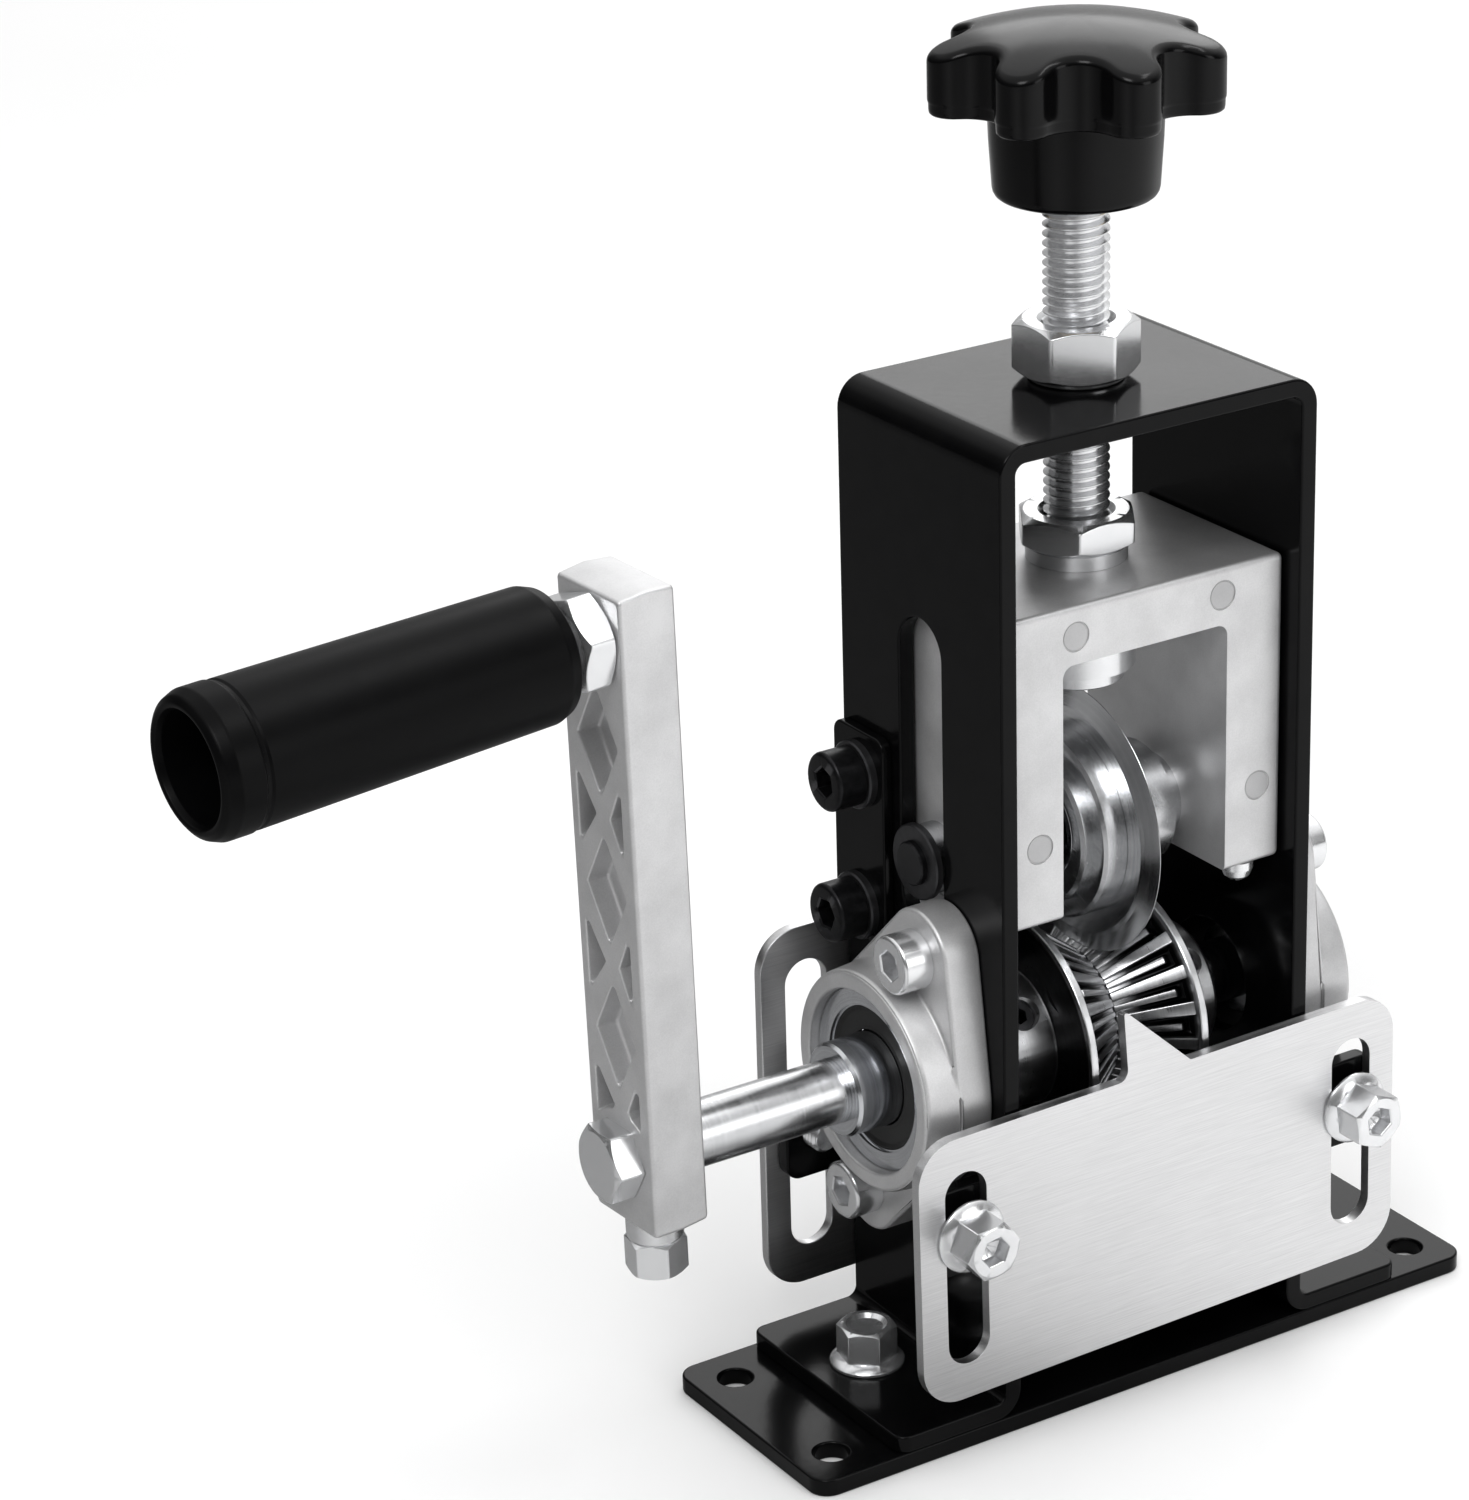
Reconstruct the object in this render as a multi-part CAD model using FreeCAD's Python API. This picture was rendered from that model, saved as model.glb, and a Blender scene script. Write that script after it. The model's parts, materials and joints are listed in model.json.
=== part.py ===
import FreeCAD, Part
import math
import os

# Hand crank wire stripper. Millimetres, +Z up, +Y to the back, +X along the drive shaft away from the crank.
# Origin: centre of the base plate's underside.

V = FreeCAD.Vector
os.makedirs("parts", exist_ok=True)

# base and frame
BASE_L, BASE_W, BASE_T, BASE_R = 150.0, 50.0, 3.4, 4.0
MOUNT_X, MOUNT_Y, MOUNT_R = 67.0, 16.3, 3.3
STRAP_T, STRAP_HALF = 3.4, 25.0
LEG_OUT, LEG_IN = 34.2, 30.8
FRAME_TOP = 190.6
FOOT_X, FOOT_TOP = 57.8, 6.8
SLOT_HALF, SLOT_Z0, SLOT_Z1 = 6.5, 92.0, 152.6
EAR_X, EAR_Z0, EAR_Z1, EAR_T, EAR_Y = 50.5, 36.7, 54.1, 3.3, 25.4
EAR_BOLT_X, EAR_BOLT_Z = 43.7, 45.4
FOOT_BOLT_X, FOOT_BOLT_Y = 46.5, 2.5

# shaft line and feed wheels
SHAFT_Z, SHAFT_R = 66.1, 6.0
SHAFT_X0, SHAFT_X1 = -95.5, 55.0
WHEEL_MID, WHEEL_HALF, WHEEL_R, WHEEL_V_R = -0.6, 13.3, 23.75, 13.9
WHEEL_LAND, WHEEL_HUB_R, WHEEL_HUB = 1.75, 13.0, 10.3
TEETH = 20

# bearing units
BRG_FLANGE_T, BRG_OUT = 7.4, 48.2
BRG_BOLT_Y, BRG_BOLT_Z = -8.7, 26.2

# cutting blade and its axle
AXLE_Z, AXLE_R = 106.3, 5.0
BLADE_R, BLADE_BORE, BLADE_T, BLADE_X = 25.5, 13.5, 3.0, -0.1

# pressure block, screw and knob
BLOCK_X, BLOCK_Y, BLOCK_Z0, BLOCK_Z1 = 30.4, 21.0, 98.0, 157.0
CAVITY_X0, CAVITY_X1, CAVITY_Z = -18.2, 17.8, 146.2
ROD_R, ROD_Z0, ROD_Z1, NUT_BORE = 5.95, 134.5, 240.0, 6.03
KNOB_LOBES, KNOB_LOBE_DIR = 7, 209.4

# guide plates
PLATE_T, PLATE_GAP, PLATE_TILT = 2.15, 0.05, 0.85

# crank: the arm sits on the shaft end slightly out of square
CRANK_RX, CRANK_RY, CRANK_RZ = 1.02, -1.96, 4.26
CRANK_P = V(-93.0, 0.0, SHAFT_Z)
ARM_X0, ARM_X1, ARM_HALF, ARM_L0, ARM_L1 = -99.0, -87.5, 9.3, -12.7, 109.4
HANDLE_L = 99.85

RUN = 0.05   # running clearance on radius
FIT = 0.03   # seated parts that turn together

CRANK_ROT = FreeCAD.Rotation(V(0, 0, 1), CRANK_RZ).multiply(
    FreeCAD.Rotation(V(0, 1, 0), CRANK_RY)).multiply(FreeCAD.Rotation(V(1, 0, 0), CRANK_RX))


def box(x0, x1, y0, y1, z0, z1):
    return Part.makeBox(x1 - x0, y1 - y0, z1 - z0, V(x0, y0, z0))


def cx(r, x0, x1, y=0.0, z=0.0):
    return Part.makeCylinder(r, x1 - x0, V(x0, y, z), V(1, 0, 0))


def cy(r, y0, y1, x=0.0, z=0.0):
    return Part.makeCylinder(r, y1 - y0, V(x, y0, z), V(0, 1, 0))


def cz(r, z0, z1, x=0.0, y=0.0):
    return Part.makeCylinder(r, z1 - z0, V(x, y, z0), V(0, 0, 1))


def put(shape, p, d, spin=0.0):
    # a shape drawn along +Z at the origin, turned to point along d and moved to p
    s = shape.copy()
    rot = FreeCAD.Rotation(V(0, 0, 1), V(*d))
    s.Placement = FreeCAD.Placement(V(*p), rot.multiply(FreeCAD.Rotation(V(0, 0, 1), spin))).multiply(s.Placement)
    return s


def rev(pts, p=(0, 0, 0), d=(0, 0, 1)):
    # pts are (along, radius) pairs round a closed profile
    w = Part.makePolygon([V(r, 0, a) for a, r in pts] + [V(pts[0][1], 0, pts[0][0])])
    return put(Part.Face(w).revolve(V(0, 0, 0), V(0, 0, 1), 360), p, d)


def prism(pts, vec):
    w = Part.makePolygon([V(*q) for q in pts] + [V(*pts[0])])
    return Part.Face(w).extrude(V(*vec))


def round_poly(pts, radii):
    # closed outline of (a, b) points with a fillet radius at each, as a list of edges in the plane (a, 0, b)
    n = len(pts)
    ends = []
    for i in range(n):
        p, a, b = V(pts[i][0], 0, pts[i][1]), V(pts[i - 1][0], 0, pts[i - 1][1]), V(pts[(i + 1) % n][0], 0, pts[(i + 1) % n][1])
        r = radii[i]
        ua, ub = (a - p).normalize(), (b - p).normalize()
        if r <= 0:
            ends.append((p, None, p))
            continue
        half = ua.getAngle(ub) / 2
        cut = r / math.tan(half)
        mid = (ua + ub).normalize() * (r / math.sin(half) - r)
        ends.append((p + ua * cut, p + mid, p + ub * cut))
    edges = []
    for i in range(n):
        s, m, e = ends[i]
        if m is not None:
            edges.append(Part.Arc(s, m, e).toShape())
        nxt = ends[(i + 1) % n][0]
        if (nxt - e).Length > 1e-6:
            edges.append(Part.LineSegment(e, nxt).toShape())
    return Part.Wire(edges)


def fillet(shape, r, pick):
    edges = [e for e in shape.Edges if pick(e)]
    if not edges:
        return shape
    try:
        out = shape.makeFillet(r, edges)
        if out.isValid() and out.Volume > 0.5 * shape.Volume:
            return out
    except Exception:
        pass
    for e in edges:
        try:
            near = [f for f in shape.Edges if (f.CenterOfMass - e.CenterOfMass).Length < 1e-3]
            out = shape.makeFillet(r, near[:1])
            if out.isValid():
                shape = out
        except Exception:
            continue
    return shape


def hexagon(af, z0, z1, top=0.0, bottom=0.0, spin=0.0):
    # hexagonal prism along Z with conical chamfers
    rc = af / math.sqrt(3.0)
    pts = [(rc * math.cos(math.radians(60 * i + spin)), rc * math.sin(math.radians(60 * i + spin)), z0) for i in range(6)]
    s = prism(pts, (0, 0, z1 - z0))
    if top or bottom:
        ri = af / 2.0 * 0.97
        prof = [(z0, 0.0), (z0, ri if bottom else rc + 1), (z0 + bottom, rc + 0.01 if bottom else rc + 1),
                (z1 - top, rc + 0.01 if top else rc + 1), (z1, ri if top else rc + 1), (z1, 0.0)]
        s = s.common(rev(prof))
    return s


def slot(half, length, depth):
    # round-ended bar along Z, centred, length end to end, depth along Y from 0
    a = length / 2.0 - half
    s = box(-half, half, 0, depth, -a, a)
    return s.fuse(cy(half, 0, depth, 0, -a)).fuse(cy(half, 0, depth, 0, a)).removeSplitter()


def save(name, shape):
    if isinstance(shape, (list, tuple)):
        shape = Part.makeCompound([s for q in shape for s in (q.Solids or [q])])
    shape.exportStep("parts/" + name + ".step")
    print(name, len(shape.Solids), "solids", "ok" if shape.isValid() else "INVALID", round(shape.Volume, 1))


def crank(shape):
    # turns a shape drawn square to the shaft into the crank's own, slightly skewed position
    s = shape.copy()
    s.Placement = FreeCAD.Placement(V(0, 0, 0), CRANK_ROT, CRANK_P).multiply(s.Placement)
    return s


def cap_screw(head_r, head_h, shank_r, shank_l, hex_af, hex_d):
    s = rev([(0, 0), (0, head_r), (head_h - 0.7, head_r), (head_h, head_r - 0.7), (head_h, 0)])
    s = s.cut(hexagon(hex_af, head_h - hex_d, head_h + 1))
    return s.fuse(rev([(-shank_l, 0), (-shank_l, shank_r - 0.6), (-shank_l + 0.6, shank_r), (0.2, shank_r), (0.2, 0)])).removeSplitter()


def flange_screw(shank_l, spin=0.0):
    # M6 flange screw: flange, hexagon head and a socket in its end
    s = rev([(0, 0), (0, 7.0), (0.7, 7.0), (1.6, 5.9), (1.6, 0)])
    s = s.fuse(hexagon(10.0, 1.5, 7.9, top=0.8, spin=spin))
    s = s.cut(hexagon(5.0, 4.9, 9.0, spin=spin))
    return s.fuse(rev([(-shank_l, 0), (-shank_l, 2.4), (-shank_l + 0.6, 3.0), (0.2, 3.0), (0.2, 0)])).removeSplitter()


# ---------------------------------------------------------------- frame
base = box(-BASE_L / 2, BASE_L / 2, -BASE_W / 2, BASE_W / 2, 0, BASE_T)
base = fillet(base, BASE_R, lambda e: abs(e.CenterOfMass.z - BASE_T / 2) < 0.01)
for sx in (-1, 1):
    for sy in (-1, 1):
        base = base.cut(cz(MOUNT_R, -1, BASE_T + 1, sx * MOUNT_X, sy * MOUNT_Y))
    base = base.cut(cz(3.05, -1, BASE_T + 1, sx * FOOT_BOLT_X, FOOT_BOLT_Y))
base = fillet(base, 0.4, lambda e: abs(e.CenterOfMass.z - BASE_T) < 0.01 and e.BoundBox.XLength + e.BoundBox.YLength > 7.5
              and (abs(abs(e.CenterOfMass.x) - BASE_L / 2) < 3 or abs(abs(e.CenterOfMass.y) - BASE_W / 2) < 2))
save("base_plate", base)

outline = [(-FOOT_X, BASE_T), (-LEG_IN, BASE_T), (-LEG_IN, FRAME_TOP - STRAP_T), (LEG_IN, FRAME_TOP - STRAP_T), (LEG_IN, BASE_T),
           (FOOT_X, BASE_T), (FOOT_X, FOOT_TOP), (LEG_OUT, FOOT_TOP), (LEG_OUT, FRAME_TOP), (-LEG_OUT, FRAME_TOP),
           (-LEG_OUT, FOOT_TOP), (-FOOT_X, FOOT_TOP)]
radii = [0, 5.4, 2.1, 2.1, 5.4, 0, 0, 2.0, 5.5, 5.5, 2.0, 0]
frame = Part.Face(round_poly(outline, radii)).extrude(V(0, 2 * STRAP_HALF, 0))
frame.translate(V(0, -STRAP_HALF, 0))
frame = fillet(frame, 2.5, lambda e: abs(abs(e.CenterOfMass.x) - FOOT_X) < 0.01 and abs(abs(e.CenterOfMass.y) - STRAP_HALF) < 0.01)
for side in (-1, 1):
    for y0 in (-EAR_Y, EAR_Y - EAR_T):
        xa, xb = sorted((side * LEG_IN, side * EAR_X))
        ear = box(xa, xb, y0, y0 + EAR_T, EAR_Z0, EAR_Z1)
        ear = fillet(ear, 3.0, lambda e: abs(e.CenterOfMass.x - side * EAR_X) < 0.01 and e.BoundBox.YLength > 3)
        frame = frame.fuse(ear)
frame = frame.removeSplitter()
cuts = [cx(11.0, -40, 40, 0, SHAFT_Z), cz(6.6, 180, 200)]
zm, zl = (SLOT_Z0 + SLOT_Z1) / 2, SLOT_Z1 - SLOT_Z0
leg_slot = slot(SLOT_HALF, zl, 90)
leg_slot.rotate(V(0, 0, 0), V(0, 0, 1), -90)
leg_slot.translate(V(-45, 0, zm))
cuts.append(leg_slot)
cuts += [cx(3.05, -40, 40, BRG_BOLT_Y, SHAFT_Z + BRG_BOLT_Z), cx(3.05, -40, 40, -BRG_BOLT_Y, SHAFT_Z - BRG_BOLT_Z)]
cuts += [cx(3.05, -40, 40, 17.0, 118.0), cx(3.05, -40, 40, 17.3, 92.0)]
for sx in (-1, 1):
    cuts.append(cy(3.05, -30, 30, sx * EAR_BOLT_X, EAR_BOLT_Z))
    cuts.append(cz(3.05, 0, 10, sx * FOOT_BOLT_X, FOOT_BOLT_Y))
frame = frame.cut(cuts)
save("u_frame", frame)

save("foot_bolts", [put(flange_screw(6.5, 20 + 25 * i), (sx * FOOT_BOLT_X, FOOT_BOLT_Y, FOOT_TOP), (0, 0, 1)) for i, sx in enumerate((-1, 1))])

nut = hexagon(20.0, 191.5, 201.5, top=1.2, bottom=0.8, spin=210.9)
nut = nut.fuse(cz(8.8, FRAME_TOP, 191.6)).cut(cz(NUT_BORE, 190, 202)).removeSplitter()
save("top_nut", nut)

# ---------------------------------------------------------------- bearing units


def hull_flange(x0, x1, grow=0.0):
    # outline round the big circle and the two ear circles, in the leg's plane
    R, r = 21.4 + grow, 9.2 + grow
    d = math.hypot(BRG_BOLT_Y, BRG_BOLT_Z)
    u = V(0, BRG_BOLT_Y / d, BRG_BOLT_Z / d)
    n = V(0, u.z, -u.y)
    s = (R - r) / d
    c = math.sqrt(1 - s * s)
    o = V(0, 0, SHAFT_Z)

    def pt(k, q, side):
        # k: 0 main circle, +1/-1 ear, side: +1/-1 of the long axis
        cen = o + u * (d * k) if k else o
        rad = r if k else R
        return cen + (u * (s * q) + n * (side * c)) * rad
    e = []
    A1, A2 = pt(0, 1, 1), pt(1, 1, 1)
    B1, B2 = pt(1, 1, -1), pt(0, 1, -1)
    C1, C2 = pt(0, -1, -1), pt(-1, -1, -1)
    D1, D2 = pt(-1, -1, 1), pt(0, -1, 1)
    tip1 = o + u * (d + r)
    tip2 = o - u * (d + r)
    e.append(Part.LineSegment(A1, A2).toShape())
    e.append(Part.Arc(A2, tip1, B1).toShape())
    e.append(Part.LineSegment(B1, B2).toShape())
    e.append(Part.Arc(B2, o - n * R, C1).toShape())
    e.append(Part.LineSegment(C1, C2).toShape())
    e.append(Part.Arc(C2, tip2, D1).toShape())
    e.append(Part.LineSegment(D1, D2).toShape())
    e.append(Part.Arc(D2, o + n * R, A1).toShape())
    f = Part.Face(Part.Wire(e))
    f.translate(V(x0, 0, 0))
    return f.extrude(V(x1 - x0, 0, 0))


def mirror_x(shape):
    return shape.mirror(V(0, 0, 0), V(1, 0, 0))


def bearing_housing(side):
    s = hull_flange(LEG_OUT, LEG_OUT + BRG_FLANGE_T)
    s = fillet(s, 0.8, lambda e: abs(e.CenterOfMass.x - (LEG_OUT + BRG_FLANGE_T)) < 0.01 and e.BoundBox.XLength < 0.01)
    s = s.fuse(rev([(41.0, 0), (41.0, 21.4), (47.4, 20.9), (BRG_OUT, 20.3), (BRG_OUT, 0)], (0, 0, SHAFT_Z), (1, 0, 0)))
    s = s.cut([cx(17.4, 36.0, 60, 0, SHAFT_Z), cx(15.0, 30, 60, 0, SHAFT_Z),
               cx(3.05, 30, 60, BRG_BOLT_Y, SHAFT_Z + BRG_BOLT_Z), cx(3.05, 30, 60, -BRG_BOLT_Y, SHAFT_Z - BRG_BOLT_Z)])
    return s if side > 0 else mirror_x(s)


for name, side in (("left", -1), ("right", 1)):
    d = (side, 0, 0)
    save(name + "_bearing_housing", bearing_housing(side))
    ring = rev([(36.05, 13.9), (36.05, 17.0), (36.4, 17.37), (45.7, 17.37), (46.0, 17.1), (46.0, 13.9), (45.3, 13.9), (45.25, 13.6),
                (44.15, 13.6), (44.1, 13.9), (43.2, 13.9), (42.0, 14.15), (40.5, 14.25), (39.0, 14.15), (37.8, 13.9), (37.2, 13.9),
                (37.15, 13.6), (36.35, 13.6), (36.3, 13.9)], (0, 0, SHAFT_Z), d)
    save(name + "_bearing_outer_ring", ring)
    balls = [Part.makeSphere(2.48, V(side * 40.5, 11.35 * math.cos(math.radians(45 * i + 22)), SHAFT_Z + 11.35 * math.sin(math.radians(45 * i + 22))))
             for i in range(8)]
    save(name + "_bearing_balls", balls)
    seals = [rev([(44.2, 9.05), (44.2, 13.5), (45.2, 13.5), (45.2, 13.2), (44.8, 12.6), (44.8, 9.6), (45.0, 9.05)], (0, 0, SHAFT_Z), d),
             rev([(36.4, 9.05), (36.4, 13.5), (37.1, 13.5), (37.1, 9.05)], (0, 0, SHAFT_Z), d)]
    save(name + "_bearing_seals", seals)
    inner = rev([(36.0, SHAFT_R + FIT), (36.0, 8.8), (53.6, 8.8), (54.2, 8.3), (54.2, SHAFT_R + FIT)], (0, 0, SHAFT_Z), d)
    grubs = [(50.2, -85.0), (50.2, 35.0)]
    holes = []
    for gx, ga in grubs:
        gd = (0, math.cos(math.radians(ga)), math.sin(math.radians(ga)))
        holes.append(put(Part.makeCylinder(2.05, 12), (side * gx, 0, SHAFT_Z), gd))
    save(name + "_bearing_inner_ring", inner.cut(holes))

grub_list = []
for side in (-1, 1):
    for gx, ga in ((50.2, -85.0), (50.2, 35.0)):
        gd = (0, math.cos(math.radians(ga)), math.sin(math.radians(ga)))
        g = Part.makeCylinder(2.0, 2.4, V(0, 0, 6.1)).cut(hexagon(2.0, 7.2, 9.0))
        grub_list.append(put(g, (side * gx, 0, SHAFT_Z), gd))
save("bearing_set_screws", grub_list)

caps = []
for side in (-1, 1):
    for k in (1, -1):
        caps.append(put(cap_screw(5.5, 6.0, 3.0, 10.6, 5.0, 3.0), (side * (LEG_OUT + BRG_FLANGE_T), k * BRG_BOLT_Y, SHAFT_Z + k * BRG_BOLT_Z), (side, 0, 0), 12 * k))
save("bearing_cap_screws", caps)

# ---------------------------------------------------------------- side plates on the legs
sides, side_caps, side_washers = [], [], []
for side in (-1, 1):
    xa, xb = sorted((side * LEG_OUT, side * (LEG_OUT + 2.2)))
    s = box(xa, xb, 9.05, 25.0, 85.5, 126.5)
    s = fillet(s, 2.5, lambda e: e.BoundBox.XLength > 1)
    keep = hull_flange(LEG_OUT - 1, LEG_OUT + 9, 0.4)
    s = s.cut(keep if side > 0 else mirror_x(keep))
    s = s.cut([cx(3.05, -45, 45, 17.0, 118.0), cx(3.05, -45, 45, 17.3, 92.0)])
    sides.append(s)
    for y, z, spin in ((17.0, 118.0, 10), (17.3, 92.0, 35)):
        w = rev([(0, 3.1), (0, 6.4), (1.3, 6.4), (1.6, 6.1), (1.6, 3.1)], (side * (LEG_OUT + 2.2), y, z), (side, 0, 0))
        side_washers.append(w)
        side_caps.append(put(cap_screw(5.6, 6.0, 3.0, 6.8, 5.0, 3.2), (side * (LEG_OUT + 3.8), y, z), (side, 0, 0), spin))
save("side_plates", sides)
save("side_plate_washers", side_washers)
save("side_plate_screws", side_caps)

# ---------------------------------------------------------------- guide plates
fp = box(-53.8, 53.8, 0, PLATE_T, -26.5, 26.5)
fp = fillet(fp, 8.0, lambda e: abs(abs(e.CenterOfMass.x) - 53.8) < 0.01 and abs(abs(e.CenterOfMass.z) - 26.5) < 0.01)
tooth = prism([(-8.2 + 0.6, 0, 26.3), (5.8 + 0.6, 0, 26.3), (5.8 + 0.6, 0, 26.7), (-7.2 + 0.6, 0, 39.2), (-8.0 + 0.6, 0, 39.2)], (0, PLATE_T, 0))
tooth.rotate(V(0, 0, 26.5), V(1, 0, 0), -6.0)
fp = fp.fuse(tooth)
for sx in (-1, 1):
    c = slot(4.5, 38.8, 10)
    c.translate(V(sx * 43.75, -4, 0))
    fp = fp.cut(c)
fp = fp.removeSplitter()
fp.rotate(V(0, 0, 0), V(0, 1, 0), -PLATE_TILT)
fp.translate(V(-0.6, -EAR_Y - PLATE_GAP - PLATE_T, 39.65))
save("front_guide_plate", fp)

bp = box(-53.3, 53.3, 0, PLATE_T, -36.9, 36.9)
bp = fillet(bp, 8.0, lambda e: abs(abs(e.CenterOfMass.x) - 53.3) < 0.01 and abs(abs(e.CenterOfMass.z) - 36.9) < 0.01)
for sx in (-1, 1):
    c = slot(4.5, 59.1, 10)
    c.translate(V(sx * 43.3, -4, 0.35))
    bp = bp.cut(c)
bp.translate(V(0, EAR_Y + PLATE_GAP, 49.6))
save("back_guide_plate", bp)

yf = EAR_Y + PLATE_GAP + PLATE_T + PLATE_GAP
save("front_plate_bolts", [put(flange_screw(9.0, 8 + 30 * i), (sx * EAR_BOLT_X, -yf, EAR_BOLT_Z), (0, -1, 0)) for i, sx in enumerate((-1, 1))])
save("back_plate_bolts", [put(flange_screw(9.0, 40 * i), (sx * EAR_BOLT_X, yf, EAR_BOLT_Z), (0, 1, 0)) for i, sx in enumerate((-1, 1))])

# ---------------------------------------------------------------- drive shaft and feed wheels
shaft = rev([(SHAFT_X0, 4.02), (SHAFT_X0, 5.5), (SHAFT_X0 + 0.5, SHAFT_R), (SHAFT_X1 - 0.6, SHAFT_R), (SHAFT_X1, SHAFT_R - 0.6), (SHAFT_X1, 0),
             (SHAFT_X0 + 17, 0), (SHAFT_X0 + 15, 4.02)], (0, 0, SHAFT_Z), (1, 0, 0))
save("drive_shaft", shaft)


def feed_wheel(side):
    # drawn on the +X side of the V's middle plane
    ro = WHEEL_R - 1.15
    s = rev([(0.02, SHAFT_R + FIT), (0.02, WHEEL_V_R), (WHEEL_HALF - WHEEL_LAND, ro), (WHEEL_HALF - WHEEL_LAND, WHEEL_R - 0.35),
             (WHEEL_HALF - WHEEL_LAND + 0.35, WHEEL_R), (WHEEL_HALF - 0.35, WHEEL_R), (WHEEL_HALF, WHEEL_R - 0.35),
             (WHEEL_HALF, WHEEL_HUB_R), (WHEEL_HALF + WHEEL_HUB - 0.7, WHEEL_HUB_R), (WHEEL_HALF + WHEEL_HUB, WHEEL_HUB_R - 0.7),
             (WHEEL_HALF + WHEEL_HUB, SHAFT_R + FIT)])
    x1 = WHEEL_HALF - WHEEL_LAND - 0.25
    slope = (ro - WHEEL_V_R) / (WHEEL_HALF - WHEEL_LAND)
    nl = math.hypot(1, slope)
    nx, nr = -slope / nl, 1 / nl
    cutters = []
    for i in range(2 * TEETH):
        a = math.radians(360.0 / (2 * TEETH) * (i + 0.5))
        er, et = V(math.cos(a), math.sin(a), 0), V(-math.sin(a), math.cos(a), 0)
        ez = V(0, 0, 1)
        nrm = er * nr + ez * nx
        tri = []
        for x, dep, wid in ((0.25, 0.25, 0.30), (x1, 1.35, 0.95)):
            r = WHEEL_V_R + slope * x
            p = er * r + ez * x
            k = (dep + 0.4) / dep
            tri.append(Part.makePolygon([p - nrm * dep, p + nrm * 0.4 + et * (wid * k), p + nrm * 0.4 - et * (wid * k), p - nrm * dep]))
        cutters.append(Part.makeLoft(tri, True, True))
    s = s.cut(cutters)
    hole = put(Part.makeCylinder(3.05, 20), (0, 0, WHEEL_HALF + 5.2), (math.cos(math.radians(135)), math.sin(math.radians(135)), 0))
    s = s.cut(hole)
    return s


def on_shaft(shape, side):
    # local +Z becomes the side's X direction; local X becomes +Y and local Y becomes +Z (or its mirror)
    m = FreeCAD.Matrix()
    m.A11, m.A12, m.A13, m.A14 = 0, 0, 1, 0
    m.A21, m.A22, m.A23, m.A24 = 1, 0, 0, 0
    m.A31, m.A32, m.A33, m.A34 = 0, 1, 0, SHAFT_Z
    s = shape.copy()
    s.Placement = FreeCAD.Placement(m).multiply(s.Placement)
    if side < 0:
        s = mirror_x(s)
    s.translate(V(WHEEL_MID, 0, 0))
    return s


wheel = feed_wheel(1)
save("right_feed_wheel", on_shaft(wheel, 1))
save("left_feed_wheel", on_shaft(wheel, -1))
ws = Part.makeCylinder(3.0, 5.6, V(0, 0, 6.1)).cut(hexagon(3.0, 8.9, 12.5))
ws = put(ws, (0, 0, WHEEL_HALF + 5.2), (math.cos(math.radians(135)), math.sin(math.radians(135)), 0))
save("wheel_set_screws", [on_shaft(ws, -1), on_shaft(ws, 1)])

# ---------------------------------------------------------------- crank
mid = (ARM_X0 + ARM_X1) / 2


def arm_wire(x, w, l0, l1):
    c = 0.6
    pts = [(x, -w, l0 + c), (x, -w + c, l0), (x, w - c, l0), (x, w, l0 + c), (x, w, l1 - 0.6), (x, w - 0.6, l1), (x, -w + 0.6, l1), (x, -w, l1 - 0.6)]
    return Part.makePolygon([V(a, b, SHAFT_Z + c2) for a, b, c2 in pts] + [V(pts[0][0], pts[0][1], SHAFT_Z + pts[0][2])])


arm = Part.makeLoft([arm_wire(ARM_X0, ARM_HALF - 0.22, ARM_L0 + 0.15, ARM_L1 - 0.5), arm_wire(mid, ARM_HALF, ARM_L0, ARM_L1)], True, True)
arm = arm.fuse(Part.makeLoft([arm_wire(mid, ARM_HALF, ARM_L0, ARM_L1), arm_wire(ARM_X1, ARM_HALF - 0.22, ARM_L0 + 0.15, ARM_L1 - 0.5)], True, True))
arm = fillet(arm, 0.7, lambda e: (abs(e.BoundBox.XMin - ARM_X0) < 0.01 or abs(e.BoundBox.XMax - ARM_X1) < 0.01) and e.BoundBox.XLength < 0.01)
pockets = []
PD, PW, PY = 4.2, 5.8, -0.3
for c in (24.4, 52.65, 80.95):
    pockets.append(prism([(ARM_X0 - 1, PY, SHAFT_Z + c - 10.5), (ARM_X0 - 1, PY + PW, SHAFT_Z + c), (ARM_X0 - 1, PY, SHAFT_Z + c + 10.5), (ARM_X0 - 1, PY - PW, SHAFT_Z + c)],
                         (PD + 1, 0, 0)))
for c in (10.3, 38.5, 66.8):
    for y0, y1 in ((1.5, 6.8), (-2.6, -6.1)):
        pockets.append(prism([(ARM_X0 - 1, y1, SHAFT_Z + c - 7.3), (ARM_X0 - 1, y1, SHAFT_Z + c + 7.3), (ARM_X0 - 1, y0, SHAFT_Z + c)], (PD + 1, 0, 0)))
bosses = cx(9.6, ARM_X0 - 2, ARM_X1, 0, SHAFT_Z).fuse(cx(9.8, ARM_X0 - 2, ARM_X1, 0, SHAFT_Z + HANDLE_L))
for p in pockets:
    q = p.cut(bosses)
    if q.Volume > 0.5:
        arm = arm.cut(q)
arm = arm.cut([cx(5.03, -110, -80, 0, SHAFT_Z + HANDLE_L), cz(3.05, SHAFT_Z + ARM_L0 - 1, SHAFT_Z, -93.0, 0)])
arm = crank(arm)
arm = arm.cut([cx(SHAFT_R + FIT, SHAFT_X0, -80, 0, SHAFT_Z), cx(4.25, -110, -90, 0, SHAFT_Z), cx(7.7, -110, -98.6, 0, SHAFT_Z)])
save("crank_arm", arm)

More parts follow.
